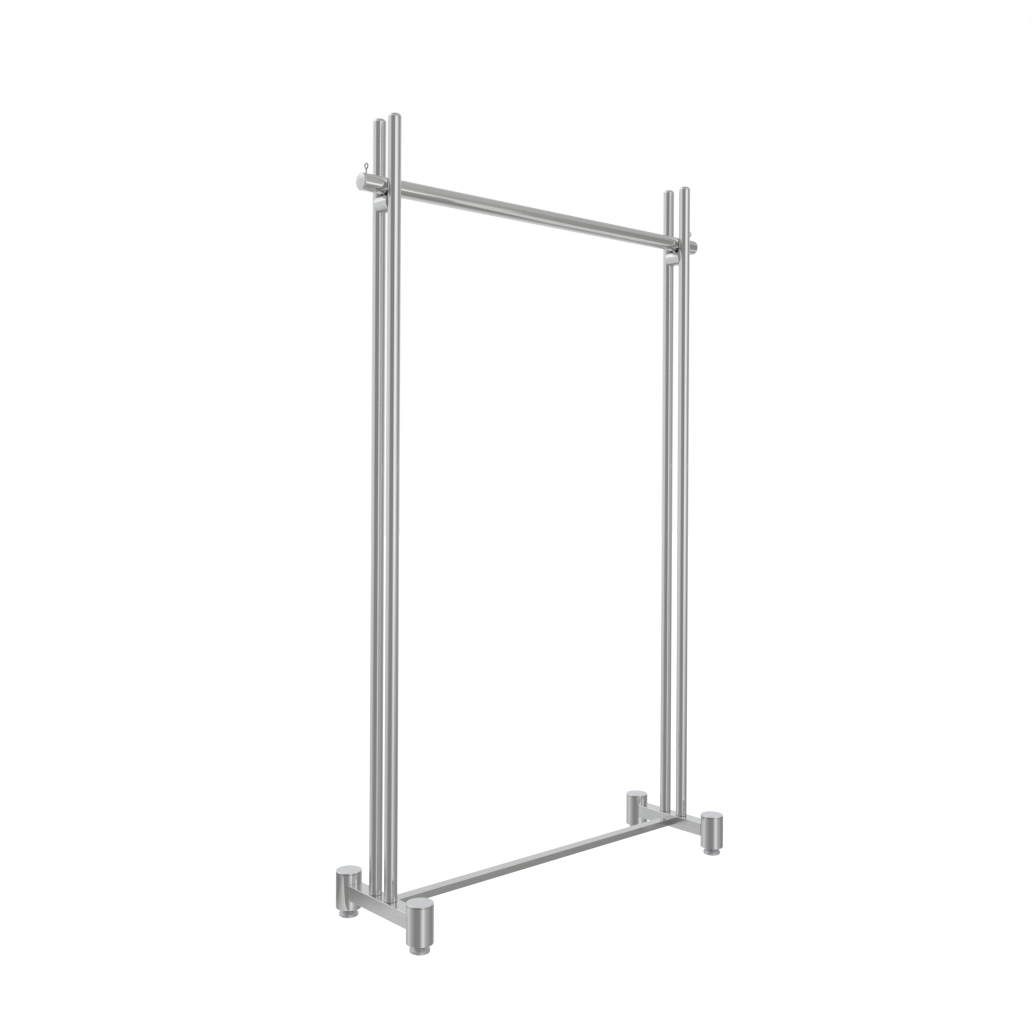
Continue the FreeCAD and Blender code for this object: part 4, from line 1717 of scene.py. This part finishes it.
@dataclass(frozen=True)
class Studio:
    """Soft surrounding light, a pale floor, two reflected light cards, a reflected card of painted floor
    shadow and the camera.
    """

    eye_level: Wall = Wall("eye_level", (
        (0.0, 0.66), (40.0, 0.80), (92.0, 0.86), (130.0, 0.71), (150.0, 0.77), (166.0, 0.74),
        (170.0, 0.42), (178.0, 0.33), (194.0, 0.26), (212.0, 0.30), (230.0, 0.25), (238.0, 0.32),
        (244.0, 0.84), (258.0, 1.05), (266.0, 1.12), (275.0, 0.92), (288.0, 0.80), (300.0, 0.55),
        (312.0, 0.38), (322.0, 0.27), (332.0, 0.41), (350.0, 0.42),
    ))
    below: Wall = Wall("below", (
        (0.0, 0.34), (22.0, 0.56), (40.0, 0.72), (70.0, 0.64), (100.0, 0.50), (130.0, 0.74),
        (152.0, 0.50), (172.0, 0.38), (190.0, 0.27), (225.0, 0.28), (238.0, 0.42), (250.0, 0.74),
        (262.0, 0.86), (275.0, 0.56), (292.0, 0.44), (318.0, 0.34), (335.0, 0.26), (350.0, 0.32),
    ))
    above: Wall = Wall("above", (
        (0.0, 0.50), (45.0, 0.60), (90.0, 0.90), (125.0, 1.20), (150.0, 0.95), (185.0, 0.55),
        (235.0, 0.47), (300.0, 0.46), (325.0, 0.50), (345.0, 0.50),
    ))
    zenith: float = 0.42
    cards: tuple[Card, ...] = (
        Card("stub_card", ((0.05, -1.16), (0.60, -1.16), (6.4, -10.0), (5.6, -10.0)), 0.99,
             (1.1, 0.9), (-1.5, -6.0)),
        Card("rail_card", ((0.30, -0.55), (0.50, -0.14), (1.05, -0.10), (1.55, -0.45), (1.35, -0.85),
                           (0.98, -0.80), (1.08, -1.4), (2.1, -2.5), (4.2, -5.0), (3.0, -5.0),
                           (1.2, -2.4), (0.62, -1.1)), 0.992, (0.68, 0.74), (-0.5, -3.0)),
        # Painted shadow: a floor patch seen only in reflections, darker towards the rear beside the left rear
        # post.
        Card("floor_card", ((-0.75, 0.07), (-0.50, 0.07), (-0.50, 0.45), (-0.75, 0.45)), 0.002,
             (0.72, 0.27), (0.07, 0.24)),
    )
    below_band: tuple[float, float] = (0.0, -0.30)
    above_band: tuple[float, float] = (0.25, 0.5)
    zenith_band: tuple[float, float] = (0.75, 0.98)
    cool: Colour = (0.985, 1.0, 1.03)
    warm: Colour = (1.0, 1.0, 0.98)
    tint_band: tuple[float, float] = (0.3, 0.9)
    floor_half: float = 12.0
    floor_colour: Colour = (0.40, 0.40, 0.40)
    floor_glow: float = 0.88
    stand_point: tuple[float, float, float] = (-1.88905, -2.01738, 0.97504)
    yaw_pitch_roll: tuple[float, float, float] = (41.695, -0.069, 0.3125)
    sensor_width: float = 36.0
    lens: float = 40.70
    shift: tuple[float, float] = (-0.00137, -0.0432)
    clip_end: float = 60.0

    def ramp(self, sheet: Sheet, wall: Wall, share: Socket) -> Socket:
        """Adds a belt of light as a colour ramp.

        Args:
            sheet: The world's sheet.
            wall: The belt.
            share: Azimuth as a share of a full turn.

        Returns:
            The belt's colour.
        """
        ramp = sheet.node("ShaderNodeValToRGB")
        stops = wall.stops + ((360.0, wall.stops[0][1]),)
        elements = ramp.color_ramp.elements
        for _ in range(len(stops) - 2):
            elements.new(0.5)
        for element, (azimuth, level) in zip(elements, stops):
            element.position = azimuth / 360.0
            tint = float(np.interp(level, self.tint_band, (0.0, 1.0)))
            element.color = (*[level * (w + tint * (c - w)) for c, w in zip(self.cool, self.warm)], 1.0)
        sheet.feed(ramp.inputs[0], share)
        return ramp.outputs[0]

    def light(self) -> None:
        """Makes the surroundings: belts of light by azimuth, blended by height, white to the camera."""
        world = bpy.data.worlds.new("studio")
        bpy.context.scene.world = world
        sheet = Sheet.blank(world)
        along, deep, height = sheet.parts(sheet.node("ShaderNodeTexCoord").outputs["Generated"])
        azimuth = sheet.math("ARCTAN2", deep, along)
        share = sheet.math("FRACT", sheet.math("DIVIDE", azimuth, FULL_TURN))
        level = self.ramp(sheet, self.eye_level, share)
        level = sheet.blend(sheet.spread(height, *self.below_band, smooth=True), level,
                            self.ramp(sheet, self.below, share))
        level = sheet.blend(sheet.spread(height, *self.above_band, smooth=True), level,
                            self.ramp(sheet, self.above, share))
        level = sheet.blend(sheet.spread(height, *self.zenith_band, smooth=True), level,
                            (self.zenith,) * 3)
        glow = sheet.node("ShaderNodeBackground")
        sheet.feed(glow.inputs["Color"], level)
        plain = sheet.node("ShaderNodeBackground")
        plain.inputs["Color"].default_value = WHITE
        choice = sheet.node("ShaderNodeMixShader")
        sheet.feed(choice.inputs[0], sheet.node("ShaderNodeLightPath").outputs["Is Camera Ray"])
        sheet.feed(choice.inputs[1], glow.outputs[0])
        sheet.feed(choice.inputs[2], plain.outputs[0])
        sheet.feed(sheet.node("ShaderNodeOutputWorld").inputs["Surface"], choice.outputs[0])
        view = bpy.context.scene.view_settings
        view.view_transform = "Standard"
        view.look = "None"

    def floor(self) -> None:
        """Lays a wide pale floor that lifts to white and shows only faint shade under the feet."""
        half = self.floor_half
        corners = [(-half, -half, 0.0), (half, -half, 0.0), (half, half, 0.0), (-half, half, 0.0)]
        mesh = bpy.data.meshes.new("studio_floor")
        mesh.from_pydata(corners, [], [(0, 1, 2, 3)])
        ground = linked("studio_floor", mesh)
        paint = bpy.data.materials.new("pale_floor")
        paint.use_nodes = True
        shader = paint.node_tree.nodes["Principled BSDF"]
        shader.inputs["Base Color"].default_value = (*self.floor_colour, 1.0)
        shader.inputs["Roughness"].default_value = 0.9
        shader.inputs["Specular IOR Level"].default_value = 0.0
        shader.inputs["Emission Color"].default_value = WHITE
        shader.inputs["Emission Strength"].default_value = self.floor_glow
        mesh.materials.append(paint)
        ground.visible_glossy = False

    def camera(self) -> None:
        """Stands the camera to the left of the stand's front, just under half its height."""
        yaw, pitch, roll = (math.radians(angle) for angle in self.yaw_pitch_roll)
        ahead = np.array([math.sin(yaw) * math.cos(pitch), math.cos(yaw) * math.cos(pitch), math.sin(pitch)])
        right = np.array([math.cos(yaw), -math.sin(yaw), 0.0])
        up = np.cross(right, ahead)
        across = right * math.cos(roll) + up * math.sin(roll)
        upward = up * math.cos(roll) - right * math.sin(roll)
        data = bpy.data.cameras.new("studio_camera")
        data.sensor_width = self.sensor_width
        data.lens = self.lens
        data.shift_x, data.shift_y = self.shift
        data.clip_end = self.clip_end
        camera = linked("studio_camera", data)
        turn = Matrix(np.stack([across, upward, -ahead], axis=1).tolist()).to_4x4()
        camera.matrix_world = Matrix.Translation(Vector(self.stand_point)) @ turn
        bpy.context.scene.camera = camera

    def make(self) -> None:
        """Sets up the light, the floor, the cards and the camera."""
        self.light()
        self.floor()
        for card in self.cards:
            card.make()
        self.camera()


def main() -> None:
    """Builds the studio and every sub-assembly in order."""
    logging.basicConfig(level=logging.INFO, format="%(name)s: %(message)s")
    Studio().make()
    HangingRail().make()
    Stretcher().make()
    for side in Side:
        Uprights().make(side)
        FootBar().make(side)
        StopPin().make(side)
        for end in End:
            FootPost().make(side, end)
    HiddenScrews().dress()


if __name__ == "__main__":
    main()
